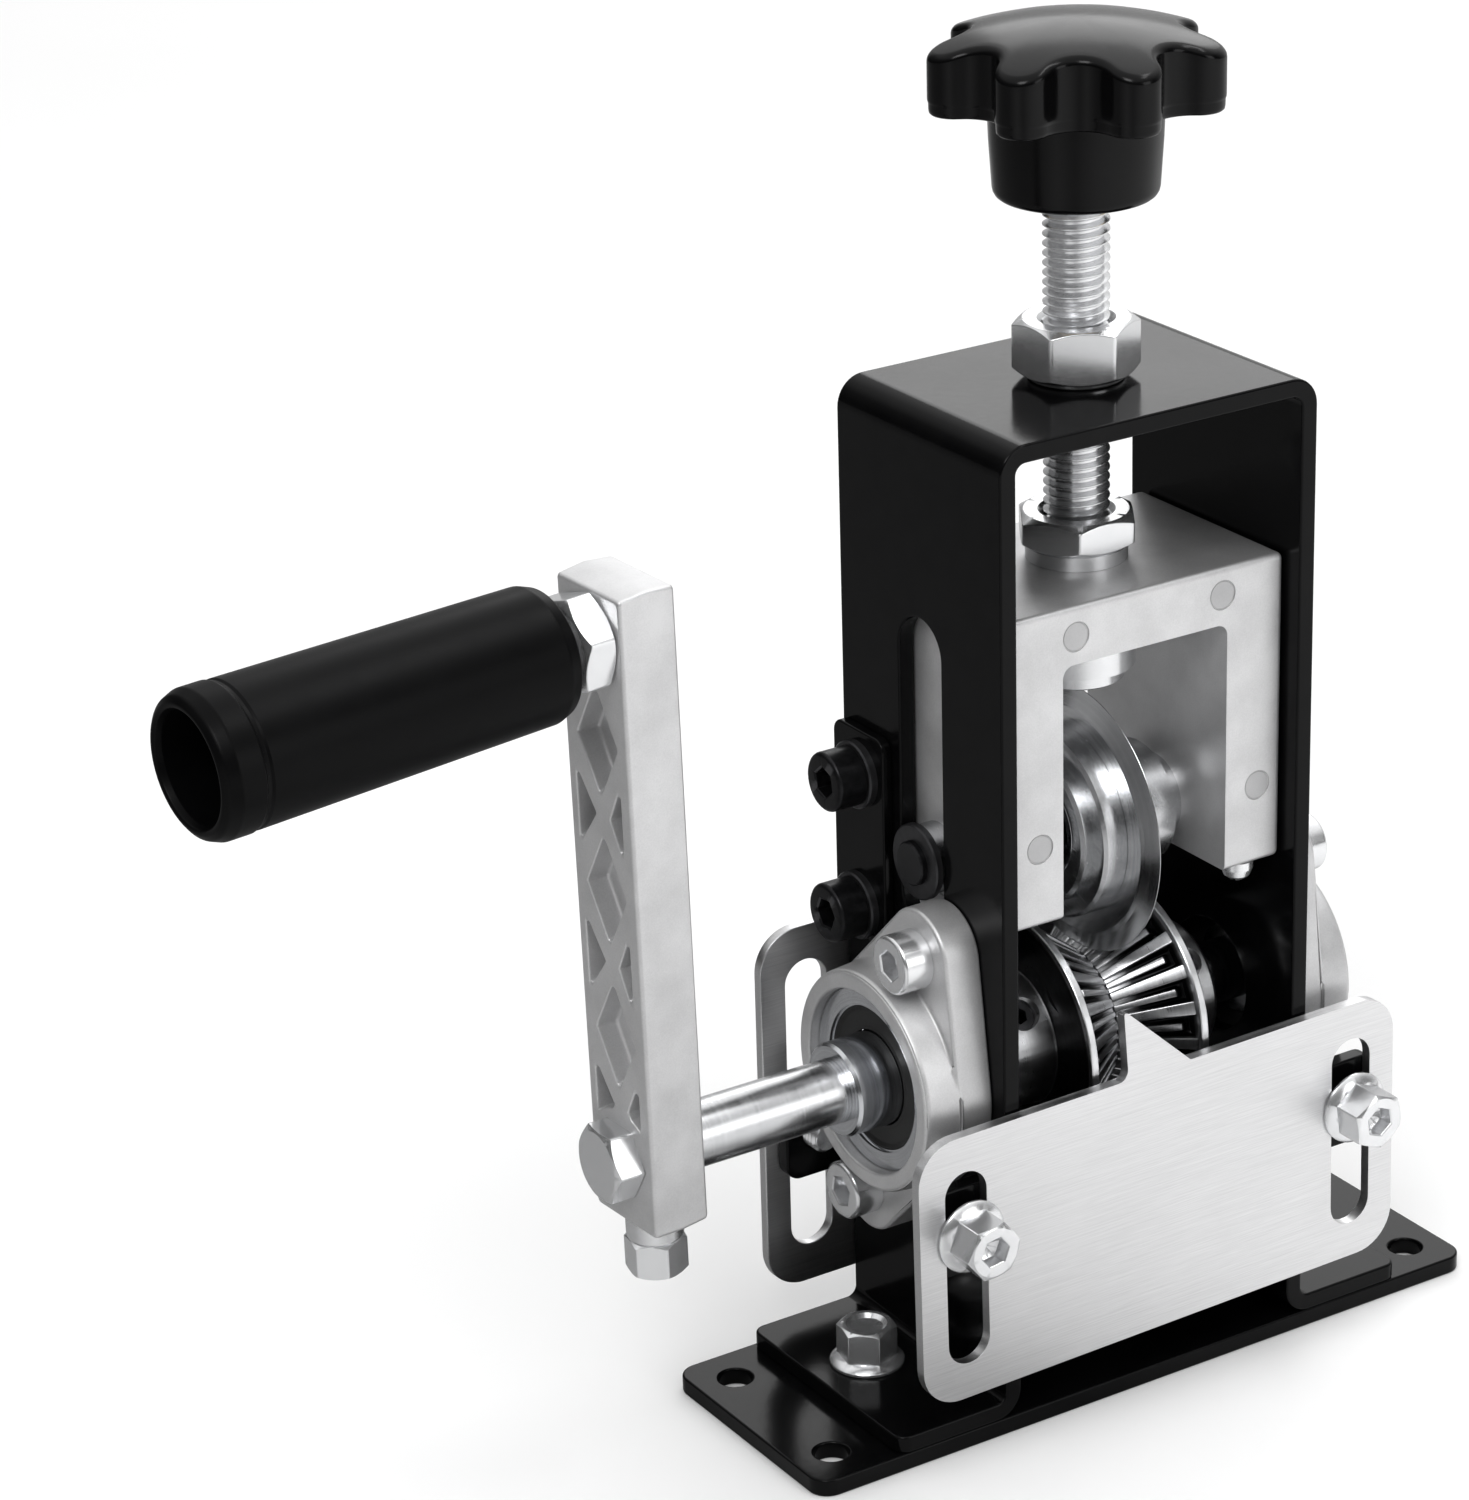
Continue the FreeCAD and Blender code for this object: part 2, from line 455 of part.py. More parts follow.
end_bolt = hexagon(13.0, 0, 5.4, top=0.9, spin=28.5).fuse(rev([(-16.5, 0), (-16.5, 3.4), (-15.9, 4.0), (0.2, 4.0), (0.2, 0)])).removeSplitter()
save("crank_end_bolt", put(end_bolt, (-98.6, 0, SHAFT_Z), (-1, 0, 0)))

cb = rev([(0, 0), (0, 5.2), (4.3, 5.2), (4.7, 4.8), (4.7, 0)]).fuse(hexagon(10.0, 4.65, 11.5, top=0.9, bottom=0.6, spin=44))
cb = cb.fuse(rev([(-6.5, 0), (-6.5, 2.4), (-5.9, 3.0), (0.2, 3.0), (0.2, 0)])).removeSplitter()
save("crank_clamp_bolt", crank(put(cb, (-93.0, 0, SHAFT_Z + ARM_L0), (0, 0, -1))))

hz = SHAFT_Z + HANDLE_L
hb = rev([(88.2, 0), (88.2, 4.4), (88.8, 5.0), (122.2, 5.0), (122.2, 0)], (0, 0, hz), (-1, 0, 0))
head = put(rev([(0, 0), (0, 8.0), (4.8, 8.0), (5.5, 7.3), (5.5, 0)]).cut(hexagon(8.0, 1.6, 6.0)), (-122.0, 0, hz), (-1, 0, 0))
save("handle_bolt", crank(hb.fuse(head).removeSplitter()))
save("handle_washer", crank(rev([(120.75, 5.05), (120.75, 8.9), (122.0, 8.9), (122.0, 5.05)], (0, 0, hz), (-1, 0, 0))))
hn = put(hexagon(16.0, 0, 6.3, top=0.9, bottom=0.8, spin=46.5).cut(cz(5.03, -1, 10)), (ARM_X0, 0, hz), (-1, 0, 0))
save("handle_nut", crank(hn))
grip = rev([(107.5, 5.15), (107.5, 9.9), (107.8, 10.8), (108.5, 11.5), (109.7, 11.95), (112.0, 12.1), (168.3, 12.75), (168.9, 12.5),
            (169.5, 12.55), (170.1, 12.9), (173.6, 12.9), (175.3, 12.55), (176.6, 11.9), (177.3, 10.9), (177.2, 10.3), (176.6, 9.9), (175.4, 9.8),
            (120.5, 9.6), (120.5, 5.15)], (0, 0, hz), (-1, 0, 0))
save("handle_grip", crank(grip))

# ---------------------------------------------------------------- knob and pressure screw
lobes = []
DL, RL, DV, RV = 21.2, 4.9, 24.845, 5.945
step = 360.0 / KNOB_LOBES
for k in range(KNOB_LOBES):
    a = math.radians(KNOB_LOBE_DIR + step * k)
    b0, b1 = a - math.radians(step / 2), a + math.radians(step / 2)
    A = V(DL * math.cos(a), DL * math.sin(a), 0)
    tip = V((DL + RL) * math.cos(a), (DL + RL) * math.sin(a), 0)
    B0, B1 = V(DV * math.cos(b0), DV * math.sin(b0), 0), V(DV * math.cos(b1), DV * math.sin(b1), 0)
    t0 = A + (B0 - A).normalize() * RL
    t1 = A + (B1 - A).normalize() * RL
    lobes.append(Part.Arc(t0, tip, t1).toShape())
    vmin = V((DV - RV) * math.cos(b1), (DV - RV) * math.sin(b1), 0)
    a2 = a + math.radians(step)
    A2 = V(DL * math.cos(a2), DL * math.sin(a2), 0)
    t2 = A2 + (B1 - A2).normalize() * RL
    lobes.append(Part.Arc(t1, vmin, t2).toShape())
star = Part.Face(Part.Wire(lobes)).extrude(V(0, 0, 20))
star.translate(V(0, 0, 239.5))
star = star.common(Part.makeSphere(72.5, V(0, 0, 182.5)))
star = fillet(star, 1.3, lambda e: e.CenterOfMass.z > 249 and e.BoundBox.ZLength < 4)
star = fillet(star, 0.9, lambda e: abs(e.CenterOfMass.z - 239.5) < 0.01 and e.BoundBox.ZLength < 0.01)
hub = rev([(223.7, 0), (223.7, 13.4), (224.1, 14.2), (225.0, 14.65), (239.0, 15.5), (240.0, 15.5), (240.0, 0)])
knob = star.fuse(hub).removeSplitter().cut(cz(8.0, 220, 240.6))
save("star_knob", knob)
ins = rev([(223.7, ROD_R + FIT), (223.7, 7.6), (224.1, 7.97), (240.4, 7.97), (240.4, ROD_R + FIT)])
save("knob_insert", ins)
rod = rev([(ROD_Z0, 0), (ROD_Z0, ROD_R - 0.9), (ROD_Z0 + 0.9, ROD_R), (ROD_Z1 - 0.6, ROD_R), (ROD_Z1, ROD_R - 0.6), (ROD_Z1, 0)])
save("pressure_screw", rod)
save("jam_nut", hexagon(20.0, 160.05, 166.0, top=0.9, bottom=0.6, spin=237.4).cut(cz(ROD_R + FIT, 150, 170)))
save("thrust_collar", rev([(157.05, ROD_R + FIT), (157.05, 9.2), (159.6, 9.2), (160.0, 8.9), (160.0, ROD_R + FIT)]))
save("retaining_collar", rev([(137.0, ROD_R + FIT), (137.0, 10.6), (145.8, 10.6), (146.15, 10.3), (146.15, ROD_R + FIT)]))
save("retaining_ring", rev([(134.2, ROD_R + FIT), (134.2, 8.3), (134.5, 8.6), (136.95, 8.6), (136.95, ROD_R + FIT)]))

# ---------------------------------------------------------------- pressure block and blade
block = box(-BLOCK_X, BLOCK_X, -BLOCK_Y, BLOCK_Y, BLOCK_Z0, BLOCK_Z1)
block = fillet(block, 1.2, lambda e: True)
cav = box(CAVITY_X0, CAVITY_X1, -BLOCK_Y - 2, BLOCK_Y + 2, BLOCK_Z0 - 5, CAVITY_Z)
cav = fillet(cav, 2.2, lambda e: abs(e.CenterOfMass.z - CAVITY_Z) < 0.01 and e.BoundBox.YLength > 20)
block = block.cut(cav)
block = block.cut([cx(AXLE_R + FIT, -40, 40, 0, AXLE_Z), cz(NUT_BORE, 140, 160)])
for x, z in ((-15.4, 151.4), (16.7, 151.9), (-23.3, 113.0), (25.0, 113.3)):
    block = block.cut(cy(2.8, -BLOCK_Y - 1, -BLOCK_Y + 0.25, x, z).cut(cy(2.55, -BLOCK_Y - 1, -BLOCK_Y + 1, x, z)))
    block = block.cut(cy(2.56, -BLOCK_Y - 1, -BLOCK_Y + 0.12, x, z))
for s in (-1, 1):
    block = block.cut(cz(1.55, BLOCK_Z0 - 1, BLOCK_Z0 + 11, s * 23.3, -s * 17.5))
save("pressure_block", block)
screw = rev([(-10, 0), (-10, 1.0), (-9.2, 1.5), (0.1, 1.5), (0.1, 0)]).fuse(rev([(0, 0), (0, 3.05), (1.6, 3.0), (2.9, 2.5), (3.8, 1.4), (4.1, 0)]))
screw = screw.cut(box(-3, 3, -0.35, 0.35, 2.9, 5)).cut(box(-0.35, 0.35, -3, 3, 2.9, 5)).removeSplitter()
save("block_screws", [put(screw, (s * 23.3, -s * 17.5, BLOCK_Z0), (0, 0, -1), 20 + 35 * s) for s in (-1, 1)])

axle = rev([(-37.1, 0), (-37.1, 3.8), (-36.8, 4.1), (-34.5, 4.1), (-34.5, AXLE_R), (34.5, AXLE_R), (34.5, 4.1), (36.8, 4.1), (37.1, 3.8), (37.1, 0)],
           (0, 0, AXLE_Z), (1, 0, 0))
save("blade_axle", axle)
bushes, discs, spacers = [], [], []
for side in (-1, 1):
    d = (side, 0, 0)
    o = (0, 0, AXLE_Z)
    bushes.append(rev([(BLOCK_X, AXLE_R + FIT), (BLOCK_X, 6.45), (34.5, 6.45), (34.5, AXLE_R + FIT)], o, d))
    discs.append(rev([(34.5, 4.13), (34.5, 7.1), (35.6, 7.1), (35.9, 6.8), (35.9, 4.13)], o, d))
spacers.append(rev([(8.05, AXLE_R + FIT), (8.05, 6.1), (9.35, 6.1), (9.35, 8.0), (-CAVITY_X0, 8.0), (-CAVITY_X0, AXLE_R + FIT)], (0, 0, AXLE_Z), (-1, 0, 0)))
spacers.append(rev([(14.4, AXLE_R + FIT), (14.4, 6.1), (14.85, 6.1), (14.85, 8.0), (CAVITY_X1, 8.0), (CAVITY_X1, AXLE_R + FIT)], (0, 0, AXLE_Z), (1, 0, 0)))
save("slot_bushes", bushes)
save("axle_end_discs", discs)
save("axle_spacers", spacers)

bo = (BLADE_X, 0, AXLE_Z)
blade = rev([(-BLADE_T / 2, BLADE_BORE), (-BLADE_T / 2, 22.0), (-0.12, BLADE_R), (0.12, BLADE_R), (BLADE_T / 2, 22.0), (BLADE_T / 2, BLADE_BORE)], bo, (1, 0, 0))
save("blade_ring", blade)
hubp = [(-9.0 + 1.0, 9.53), (-9.0 + 1.0, 12.0), (-9.0, 12.2), (-9.0, 13.5), (-8.4, 14.2), (-6.5, 14.2), (-6.5, 17.1), (-5.9, 17.7), (-1.65, 17.7), (-1.65, 13.45),
        (5.0, 13.45), (5.0, 11.5), (13.9, 11.5), (14.5, 10.1), (14.5, 9.53), (9.35, 9.53), (9.35, 7.6), (-3.0, 7.6), (-3.0, 9.53)]
save("blade_hub", rev(hubp, (0, 0, AXLE_Z), (1, 0, 0)))
save("blade_clamp_ring", rev([(1.42, 13.5), (1.42, 17.0), (4.5, 17.0), (5.0, 16.5), (5.0, 13.5)], (0, 0, AXLE_Z), (1, 0, 0)))
outer, inner, small = [], [], []
for x0 in (-8.0, 9.4):
    outer.append(rev([(x0, 8.1), (x0, 9.3), (x0 + 0.2, 9.5), (x0 + 4.8, 9.5), (x0 + 5.0, 9.3), (x0 + 5.0, 8.1), (x0 + 3.2, 8.1), (x0 + 2.5, 8.16), (x0 + 1.8, 8.1)],
                     (0, 0, AXLE_Z), (1, 0, 0)))
    inner.append(rev([(x0, AXLE_R + FIT), (x0, 6.35), (x0 + 5.0, 6.35), (x0 + 5.0, AXLE_R + FIT)], (0, 0, AXLE_Z), (1, 0, 0)))
    for i in range(9):
        a = math.radians(40 * i + 10)
        small.append(Part.makeSphere(0.8, V(x0 + 2.5, 7.23 * math.cos(a), AXLE_Z + 7.23 * math.sin(a))))
save("blade_bearing_outer_rings", outer)
save("blade_bearing_inner_rings", inner)
save("blade_bearing_balls", small)
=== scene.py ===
import bpy
import bmesh
import json
import math
from mathutils import Matrix, Vector


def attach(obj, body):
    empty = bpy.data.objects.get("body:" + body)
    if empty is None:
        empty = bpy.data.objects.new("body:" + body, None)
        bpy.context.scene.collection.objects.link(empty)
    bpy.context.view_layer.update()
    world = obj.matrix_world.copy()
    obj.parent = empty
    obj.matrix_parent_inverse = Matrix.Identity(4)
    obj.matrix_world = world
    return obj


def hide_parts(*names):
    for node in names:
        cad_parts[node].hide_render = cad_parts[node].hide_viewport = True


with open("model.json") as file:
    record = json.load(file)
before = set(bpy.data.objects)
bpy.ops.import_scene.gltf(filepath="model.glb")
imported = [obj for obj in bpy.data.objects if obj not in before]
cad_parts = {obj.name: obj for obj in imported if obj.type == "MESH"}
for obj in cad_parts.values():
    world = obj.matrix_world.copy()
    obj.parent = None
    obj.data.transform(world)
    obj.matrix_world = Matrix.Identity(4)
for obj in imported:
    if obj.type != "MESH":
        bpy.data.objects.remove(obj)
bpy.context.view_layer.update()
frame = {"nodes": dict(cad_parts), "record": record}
NODES = frame["nodes"]
scene = bpy.context.scene
MM = 0.001
TAU = 2 * math.pi

# =====================================================================
# node helpers for procedural materials
# =====================================================================


class Mat:
    """A material with short calls for its nodes. Coordinates are the object's own, in millimetres."""

    def __init__(self, name):
        self.m = bpy.data.materials.new(name)
        self.m.use_nodes = True
        self.t = self.m.node_tree
        self.n = self.t.nodes
        self.bsdf = next(x for x in self.n if x.type == "BSDF_PRINCIPLED")
        self.coord = self.n.new("ShaderNodeTexCoord")
        self.mm = self.n.new("ShaderNodeMapping")
        self.mm.inputs["Scale"].default_value = (1000, 1000, 1000)
        self.link(self.coord.outputs["Object"], self.mm.inputs["Vector"])
        self.bumps = []

    def link(self, a, b):
        self.t.links.new(a, b)
        return b

    def set(self, **kw):
        for k, v in kw.items():
            self.bsdf.inputs[k.replace("_", " ")].default_value = v
        return self

    def mapping(self, scale=(1, 1, 1), rot=(0, 0, 0), loc=(0, 0, 0)):
        m = self.n.new("ShaderNodeMapping")
        m.inputs["Scale"].default_value = scale
        m.inputs["Rotation"].default_value = [math.radians(a) for a in rot]
        m.inputs["Location"].default_value = loc
        self.link(self.mm.outputs[0], m.inputs[0])
        return m.outputs[0]

    def noise(self, vec=None, scale=1.0, detail=4.0, rough=0.5, lac=2.0, dist=0.0):
        x = self.n.new("ShaderNodeTexNoise")
        x.inputs["Scale"].default_value = scale
        x.inputs["Detail"].default_value = detail
        x.inputs["Roughness"].default_value = rough
        x.inputs["Lacunarity"].default_value = lac
        x.inputs["Distortion"].default_value = dist
        self.link(vec if vec is not None else self.mm.outputs[0], x.inputs["Vector"])
        return x.outputs[0]

    def voronoi(self, vec=None, scale=1.0, feature="F1"):
        x = self.n.new("ShaderNodeTexVoronoi")
        x.feature = feature
        x.inputs["Scale"].default_value = scale
        self.link(vec if vec is not None else self.mm.outputs[0], x.inputs["Vector"])
        return x.outputs[0]

    def ramp(self, fac, stops):
        r = self.n.new("ShaderNodeValToRGB")
        cr = r.color_ramp
        while len(cr.elements) < len(stops):
            cr.elements.new(0.5)
        for e, (p, c) in zip(cr.elements, stops):
            e.position = p
            e.color = (c, c, c, 1) if isinstance(c, (int, float)) else (*c, 1)
        self.link(fac, r.inputs[0])
        return r.outputs[0]

    def range(self, fac, a0, a1, b0, b1):
        r = self.n.new("ShaderNodeMapRange")
        r.inputs["From Min"].default_value = a0
        r.inputs["From Max"].default_value = a1
        r.inputs["To Min"].default_value = b0
        r.inputs["To Max"].default_value = b1
        self.link(fac, r.inputs["Value"])
        return r.outputs[0]

    def math(self, op, a, b=None, clamp=False):
        x = self.n.new("ShaderNodeMath")
        x.operation = op
        x.use_clamp = clamp
        for i, v in enumerate((a, b)):
            if v is None:
                continue
            if isinstance(v, (int, float)):
                x.inputs[i].default_value = v
            else:
                self.link(v, x.inputs[i])
        return x.outputs[0]

    def mix(self, fac, a, b, mode="MIX"):
        x = self.n.new("ShaderNodeMix")
        x.data_type = "RGBA"
        x.blend_type = mode
        for s, v in (("Factor_Float", fac), ("A_Color", a), ("B_Color", b)):
            sock = next(i for i in x.inputs if i.identifier == s)
            if isinstance(v, (int, float)):
                sock.default_value = v
            elif isinstance(v, (tuple, list)):
                sock.default_value = (*v, 1)
            else:
                self.link(v, sock)
        return next(o for o in x.outputs if o.identifier == "Result_Color")

    def xyz(self):
        s = self.n.new("ShaderNodeSeparateXYZ")
        self.link(self.mm.outputs[0], s.inputs[0])
        return s.outputs[0], s.outputs[1], s.outputs[2]

    def combine(self, x, y, z):
        c = self.n.new("ShaderNodeCombineXYZ")
        for i, v in enumerate((x, y, z)):
            if isinstance(v, (int, float)):
                c.inputs[i].default_value = v
            else:
                self.link(v, c.inputs[i])
        return c.outputs[0]

    def edges(self, lo=0.52, hi=0.62):
        """1 on convex edges, 0 elsewhere (from the mesh's own curvature)."""
        g = self.n.new("ShaderNodeNewGeometry")
        return self.range(g.outputs["Pointiness"], lo, hi, 0, 1)

    def rough(self, fac):
        self.link(fac, self.bsdf.inputs["Roughness"])

    def color(self, c):
        self.link(c, self.bsdf.inputs["Base Color"])

    def bump(self, height, strength=0.2, distance=0.1):
        b = self.n.new("ShaderNodeBump")
        b.inputs["Strength"].default_value = strength
        b.inputs["Distance"].default_value = distance * MM
        self.link(height, b.inputs["Height"])
        if self.bumps:
            self.link(self.bumps[-1].outputs[0], b.inputs["Normal"])
        self.bumps.append(b)
        self.link(b.outputs[0], self.bsdf.inputs["Normal"])
        return b


MATS = {}


def enamel():
    m = Mat("black_enamel")
    m.set(Base_Color=(0.003, 0.003, 0.0033, 1), Metallic=0.0, IOR=1.5, Specular_IOR_Level=0.17, Coat_Weight=0.0)
    big = m.noise(scale=0.035, detail=3)
    fine = m.noise(scale=0.9, detail=6, rough=0.6)
    m.rough(m.range(m.math("ADD", m.math("MULTIPLY", big, 0.6), m.math("MULTIPLY", fine, 0.4)), 0.3, 0.7, 0.11, 0.19))
    m.color(m.ramp(m.noise(scale=0.2, detail=5), [(0.3, (0.0025, 0.0025, 0.0028)), (0.7, (0.0042, 0.0042, 0.0045))]))
    peel = m.noise(scale=0.55, detail=2, rough=0.5)
    m.bump(peel, 0.10, 0.10)
    return m.m


def black_oxide():
    m = Mat("black_oxide")
    m.set(Metallic=0.75, IOR=1.45, Specular_IOR_Level=0.3, Coat_Weight=0.10, Coat_Roughness=0.2)
    n1 = m.noise(scale=0.8, detail=6, rough=0.65)
    # painted highlight: convex edges, found from the mesh's pointiness, are coloured lighter grey than the faces
    m.color(m.mix(m.edges(0.53, 0.66), m.ramp(n1, [(0.3, (0.012, 0.012, 0.013)), (0.7, (0.024, 0.024, 0.026))]), (0.10, 0.10, 0.105)))
    m.rough(m.range(n1, 0.3, 0.7, 0.28, 0.42))
    m.bump(m.noise(scale=6.0, detail=3), 0.12, 0.03)
    return m.m


def zinc(name="zinc", tint=(0.80, 0.805, 0.815), dark=(0.72, 0.725, 0.735), r0=0.20, r1=0.27):
    m = Mat(name)
    m.set(Metallic=0.82)
    n1 = m.noise(scale=0.55, detail=6, rough=0.6)
    n2 = m.noise(scale=4.0, detail=4, rough=0.6)
    f = m.math("ADD", m.math("MULTIPLY", n1, 0.65), m.math("MULTIPLY", n2, 0.35))
    m.color(m.ramp(f, [(0.3, dark), (0.7, tint)]))
    m.rough(m.range(f, 0.3, 0.7, r0, r1))
    m.bump(n1, 0.04, 0.02)
    return m.m


def cast_alloy(name="cast_alloy", lo=(0.55, 0.55, 0.555), hi=(0.68, 0.68, 0.685), r0=0.38, r1=0.50, grain=0.30, marks=()):
    m = Mat(name)
    m.set(Metallic=0.66)
    cloud = m.noise(scale=0.09, detail=4, rough=0.55)
    sand = m.noise(scale=3.2, detail=5, rough=0.7)
    f = m.math("ADD", m.math("MULTIPLY", cloud, 0.55), m.math("MULTIPLY", sand, 0.45))
    tone = m.ramp(f, [(0.35, lo), (0.62, hi)])
    if marks:
        x, y, z = m.xyz()
        for cx, cz in marks:
            dx, dz = m.math("SUBTRACT", x, cx), m.math("SUBTRACT", z, cz)
            r = m.math("SQRT", m.math("ADD", m.math("MULTIPLY", dx, dx), m.math("MULTIPLY", dz, dz)))
            here = m.math("MULTIPLY", m.range(r, 2.65, 2.9, 0.45, 0.0), m.range(y, -12.0, -8.0, 1.0, 0.0))
            tone = m.mix(here, tone, (0.30, 0.30, 0.305))
    m.color(tone)
    m.rough(m.range(sand, 0.3, 0.7, r0, r1))
    m.bump(m.noise(scale=0.35, detail=2), 0.08, 0.15)
    m.bump(sand, grain, 0.05)
    return m.m


def turned(name, axis="X", centre=(0, 0), c0=(0.50, 0.505, 0.515), c1=(0.64, 0.645, 0.655), r0=0.20, r1=0.28, pitch=2.2, bump=0.035):
    """Turned or ground steel: fine rings round an axis, from the distance to it and the place along it."""
    m = Mat(name)
    m.set(Metallic=1.0, Anisotropic=0.65)
    tangent = m.n.new("ShaderNodeTangent")
    tangent.direction_type = "RADIAL"
    tangent.axis = axis
    m.link(tangent.outputs[0], m.bsdf.inputs["Tangent"])
    x, y, z = m.xyz()
    a, b, along = {"X": (y, z, x), "Z": (x, y, z)}[axis]
    da, db = m.math("SUBTRACT", a, centre[0]), m.math("SUBTRACT", b, centre[1])
    r = m.math("SQRT", m.math("ADD", m.math("MULTIPLY", da, da), m.math("MULTIPLY", db, db)))
    v = m.combine(m.math("MULTIPLY", r, pitch), m.math("MULTIPLY", along, pitch), 0.0)
    rings = m.noise(v, scale=1.0, detail=6, rough=0.75)
    cloud = m.noise(scale=0.3, detail=3)
    f = m.math("ADD", m.math("MULTIPLY", rings, 0.75), m.math("MULTIPLY", cloud, 0.25))
    m.color(m.ramp(f, [(0.35, c0), (0.65, c1)]))
    m.rough(m.range(f, 0.35, 0.65, r0, r1))
    m.bump(rings, bump, 0.02)
    return m.m


def brushed(name="brushed_plate", rot=0.0):
    m = Mat(name)
    m.set(Metallic=1.0, Anisotropic=0.5)
    streak = m.noise(m.mapping(scale=(0.035, 1.0, 2.6), rot=(0, rot, 0)), scale=1.6, detail=7, rough=0.72)
    streak2 = m.noise(m.mapping(scale=(0.12, 1.0, 7.5), rot=(0, rot, 0)), scale=1.5, detail=4, rough=0.65)
    cloud = m.noise(scale=0.03, detail=3)
    f = m.math("ADD", m.math("MULTIPLY", streak, 0.55), m.math("ADD", m.math("MULTIPLY", streak2, 0.3), m.math("MULTIPLY", cloud, 0.15)))
    m.color(m.ramp(f, [(0.36, (0.60, 0.60, 0.605)), (0.62, (0.76, 0.76, 0.765))]))
    m.rough(m.range(f, 0.35, 0.65, 0.30, 0.44))
    m.bump(streak2, 0.12, 0.02)
    return m.m


def plastic(name, base=(0.0032, 0.0032, 0.0035), r0=0.26, r1=0.36, grain=0.08, scale=5.0, coat=0.0, level=0.11):
    m = Mat(name)
    m.set(Metallic=0.0, IOR=1.5, Specular_IOR_Level=level, Coat_Weight=coat, Coat_Roughness=0.12)
    n1 = m.noise(scale=0.15, detail=4)
    n2 = m.noise(scale=scale, detail=4, rough=0.6)
    m.color(m.ramp(n1, [(0.3, tuple(0.85 * c for c in base)), (0.7, tuple(1.2 * c for c in base))]))
    m.rough(m.range(m.math("ADD", m.math("MULTIPLY", n1, 0.5), m.math("MULTIPLY", n2, 0.5)), 0.35, 0.65, r0, r1))
    m.bump(n2, grain, 0.03)
    return m.m


def seal_rubber():
    m = Mat("seal_rubber")
    m.set(Metallic=0.0, IOR=1.5)
    n1 = m.noise(scale=1.0, detail=5)
    m.color(m.ramp(n1, [(0.3, (0.018, 0.018, 0.018)), (0.7, (0.032, 0.032, 0.032))]))
    m.rough(m.range(n1, 0.3, 0.7, 0.45, 0.6))
    m.bump(m.noise(scale=5, detail=3), 0.15, 0.04)
    return m.m


MATS["black_enamel"] = enamel()
MATS["black_oxide"] = black_oxide()
MATS["zinc"] = zinc()
MATS["brushed_plate"] = brushed()
MATS["ground_steel"] = turned("ground_steel", centre=(0, 66.1))


def wheel_steel():
    """Machined wheels: pale ridge tops and outer land, near-black painted shade down in the pockets, darker end faces
    round a paler hub.
    """
    m = Mat("wheel_steel")
    m.set(Metallic=1.0, Anisotropic=0.3)
    x, y, z = m.xyz()
    z = m.math("SUBTRACT", z, 66.1)
    r = m.math("SQRT", m.math("ADD", m.math("MULTIPLY", y, y), m.math("MULTIPLY", z, z)))
    u = m.math("ABSOLUTE", m.math("ADD", x, 0.6))
    cone = m.math("ADD", m.math("MULTIPLY", u, 0.7532), 13.9)
    # painted shade mask: 1 where the surface lies more than 0.3 mm below the cone, down in the pockets between the
    # ridges
    pocket_shade = m.range(m.math("SUBTRACT", cone, r), 0.30, 1.15, 0.0, 1.0)
    land = m.range(r, 22.5, 22.9, 0.0, 1.0)
    past = m.range(u, 11.45, 11.6, 0.0, 1.0)
    rings = m.noise(m.combine(m.math("MULTIPLY", r, 2.2), m.math("MULTIPLY", u, 2.2), 0.0), scale=1.0, detail=6, rough=0.75)
    cloud = m.noise(scale=0.5, detail=5)
    f = m.math("ADD", m.math("MULTIPLY", rings, 0.6), m.math("MULTIPLY", cloud, 0.4))
    # the pockets take a near-black colour as painted shade; the ridge tops keep the pale steel tone
    teeth = m.mix(pocket_shade, m.ramp(f, [(0.3, (0.46, 0.465, 0.475)), (0.7, (0.66, 0.665, 0.675))]), (0.018, 0.018, 0.019))
    disc = m.mix(m.range(r, 13.05, 13.35, 0.0, 1.0), m.ramp(f, [(0.3, (0.46, 0.465, 0.475)), (0.7, (0.62, 0.625, 0.635))]),
                 m.ramp(f, [(0.3, (0.05, 0.05, 0.052)), (0.7, (0.10, 0.10, 0.104))]))
    body = m.mix(land, disc, (0.72, 0.725, 0.735))
    m.color(m.mix(past, teeth, body))
    m.rough(m.range(f, 0.3, 0.7, 0.24, 0.38))
    m.bump(rings, 0.08, 0.02)
    return m.m


MATS["wheel_steel"] = wheel_steel()
MATS["blade_steel"] = turned("blade_steel", centre=(0, 106.3), c0=(0.58, 0.585, 0.595), c1=(0.78, 0.785, 0.795), r0=0.18, r1=0.27)
MATS["bearing_steel"] = turned("bearing_steel", centre=(0, 66.1), c0=(0.56, 0.57, 0.59), c1=(0.74, 0.75, 0.77), r0=0.12, r1=0.24)
MATS["cast_alloy"] = cast_alloy()


def block_alloy():
    """The block's own cast finish: a little greyer in the four round ejector marks on its front."""
    m = cast_alloy("block_alloy", marks=((-15.4, 151.4), (16.7, 151.9), (-23.3, 113.0), (25.0, 113.3)))
    return m


MATS["block_alloy"] = block_alloy()
MATS["seal"] = seal_rubber()
MATS["knob_plastic"] = plastic("knob_plastic", r0=0.16, r1=0.22, grain=0.04, level=0.22)
MATS["grip_plastic"] = plastic("grip_plastic", r0=0.30, r1=0.40, grain=0.05)
MATS["insert_brass"] = zinc("insert_brass", (0.72, 0.55, 0.27), (0.60, 0.44, 0.20), 0.25, 0.4)

SLOT_OF = {s["node"]: s["material_slot"] for s in frame["record"]["subparts"]}


def use_material(o, mat):
    o.data.materials.clear()
    o.data.materials.append(mat)


for name, o in NODES.items():
    use_material(o, MATS[SLOT_OF[name]])
use_material(NODES["blade_axle"], MATS["black_oxide"])
use_material(NODES["pressure_block"], MATS["block_alloy"])
use_material(NODES["side_plate_washers"], MATS["black_oxide"])


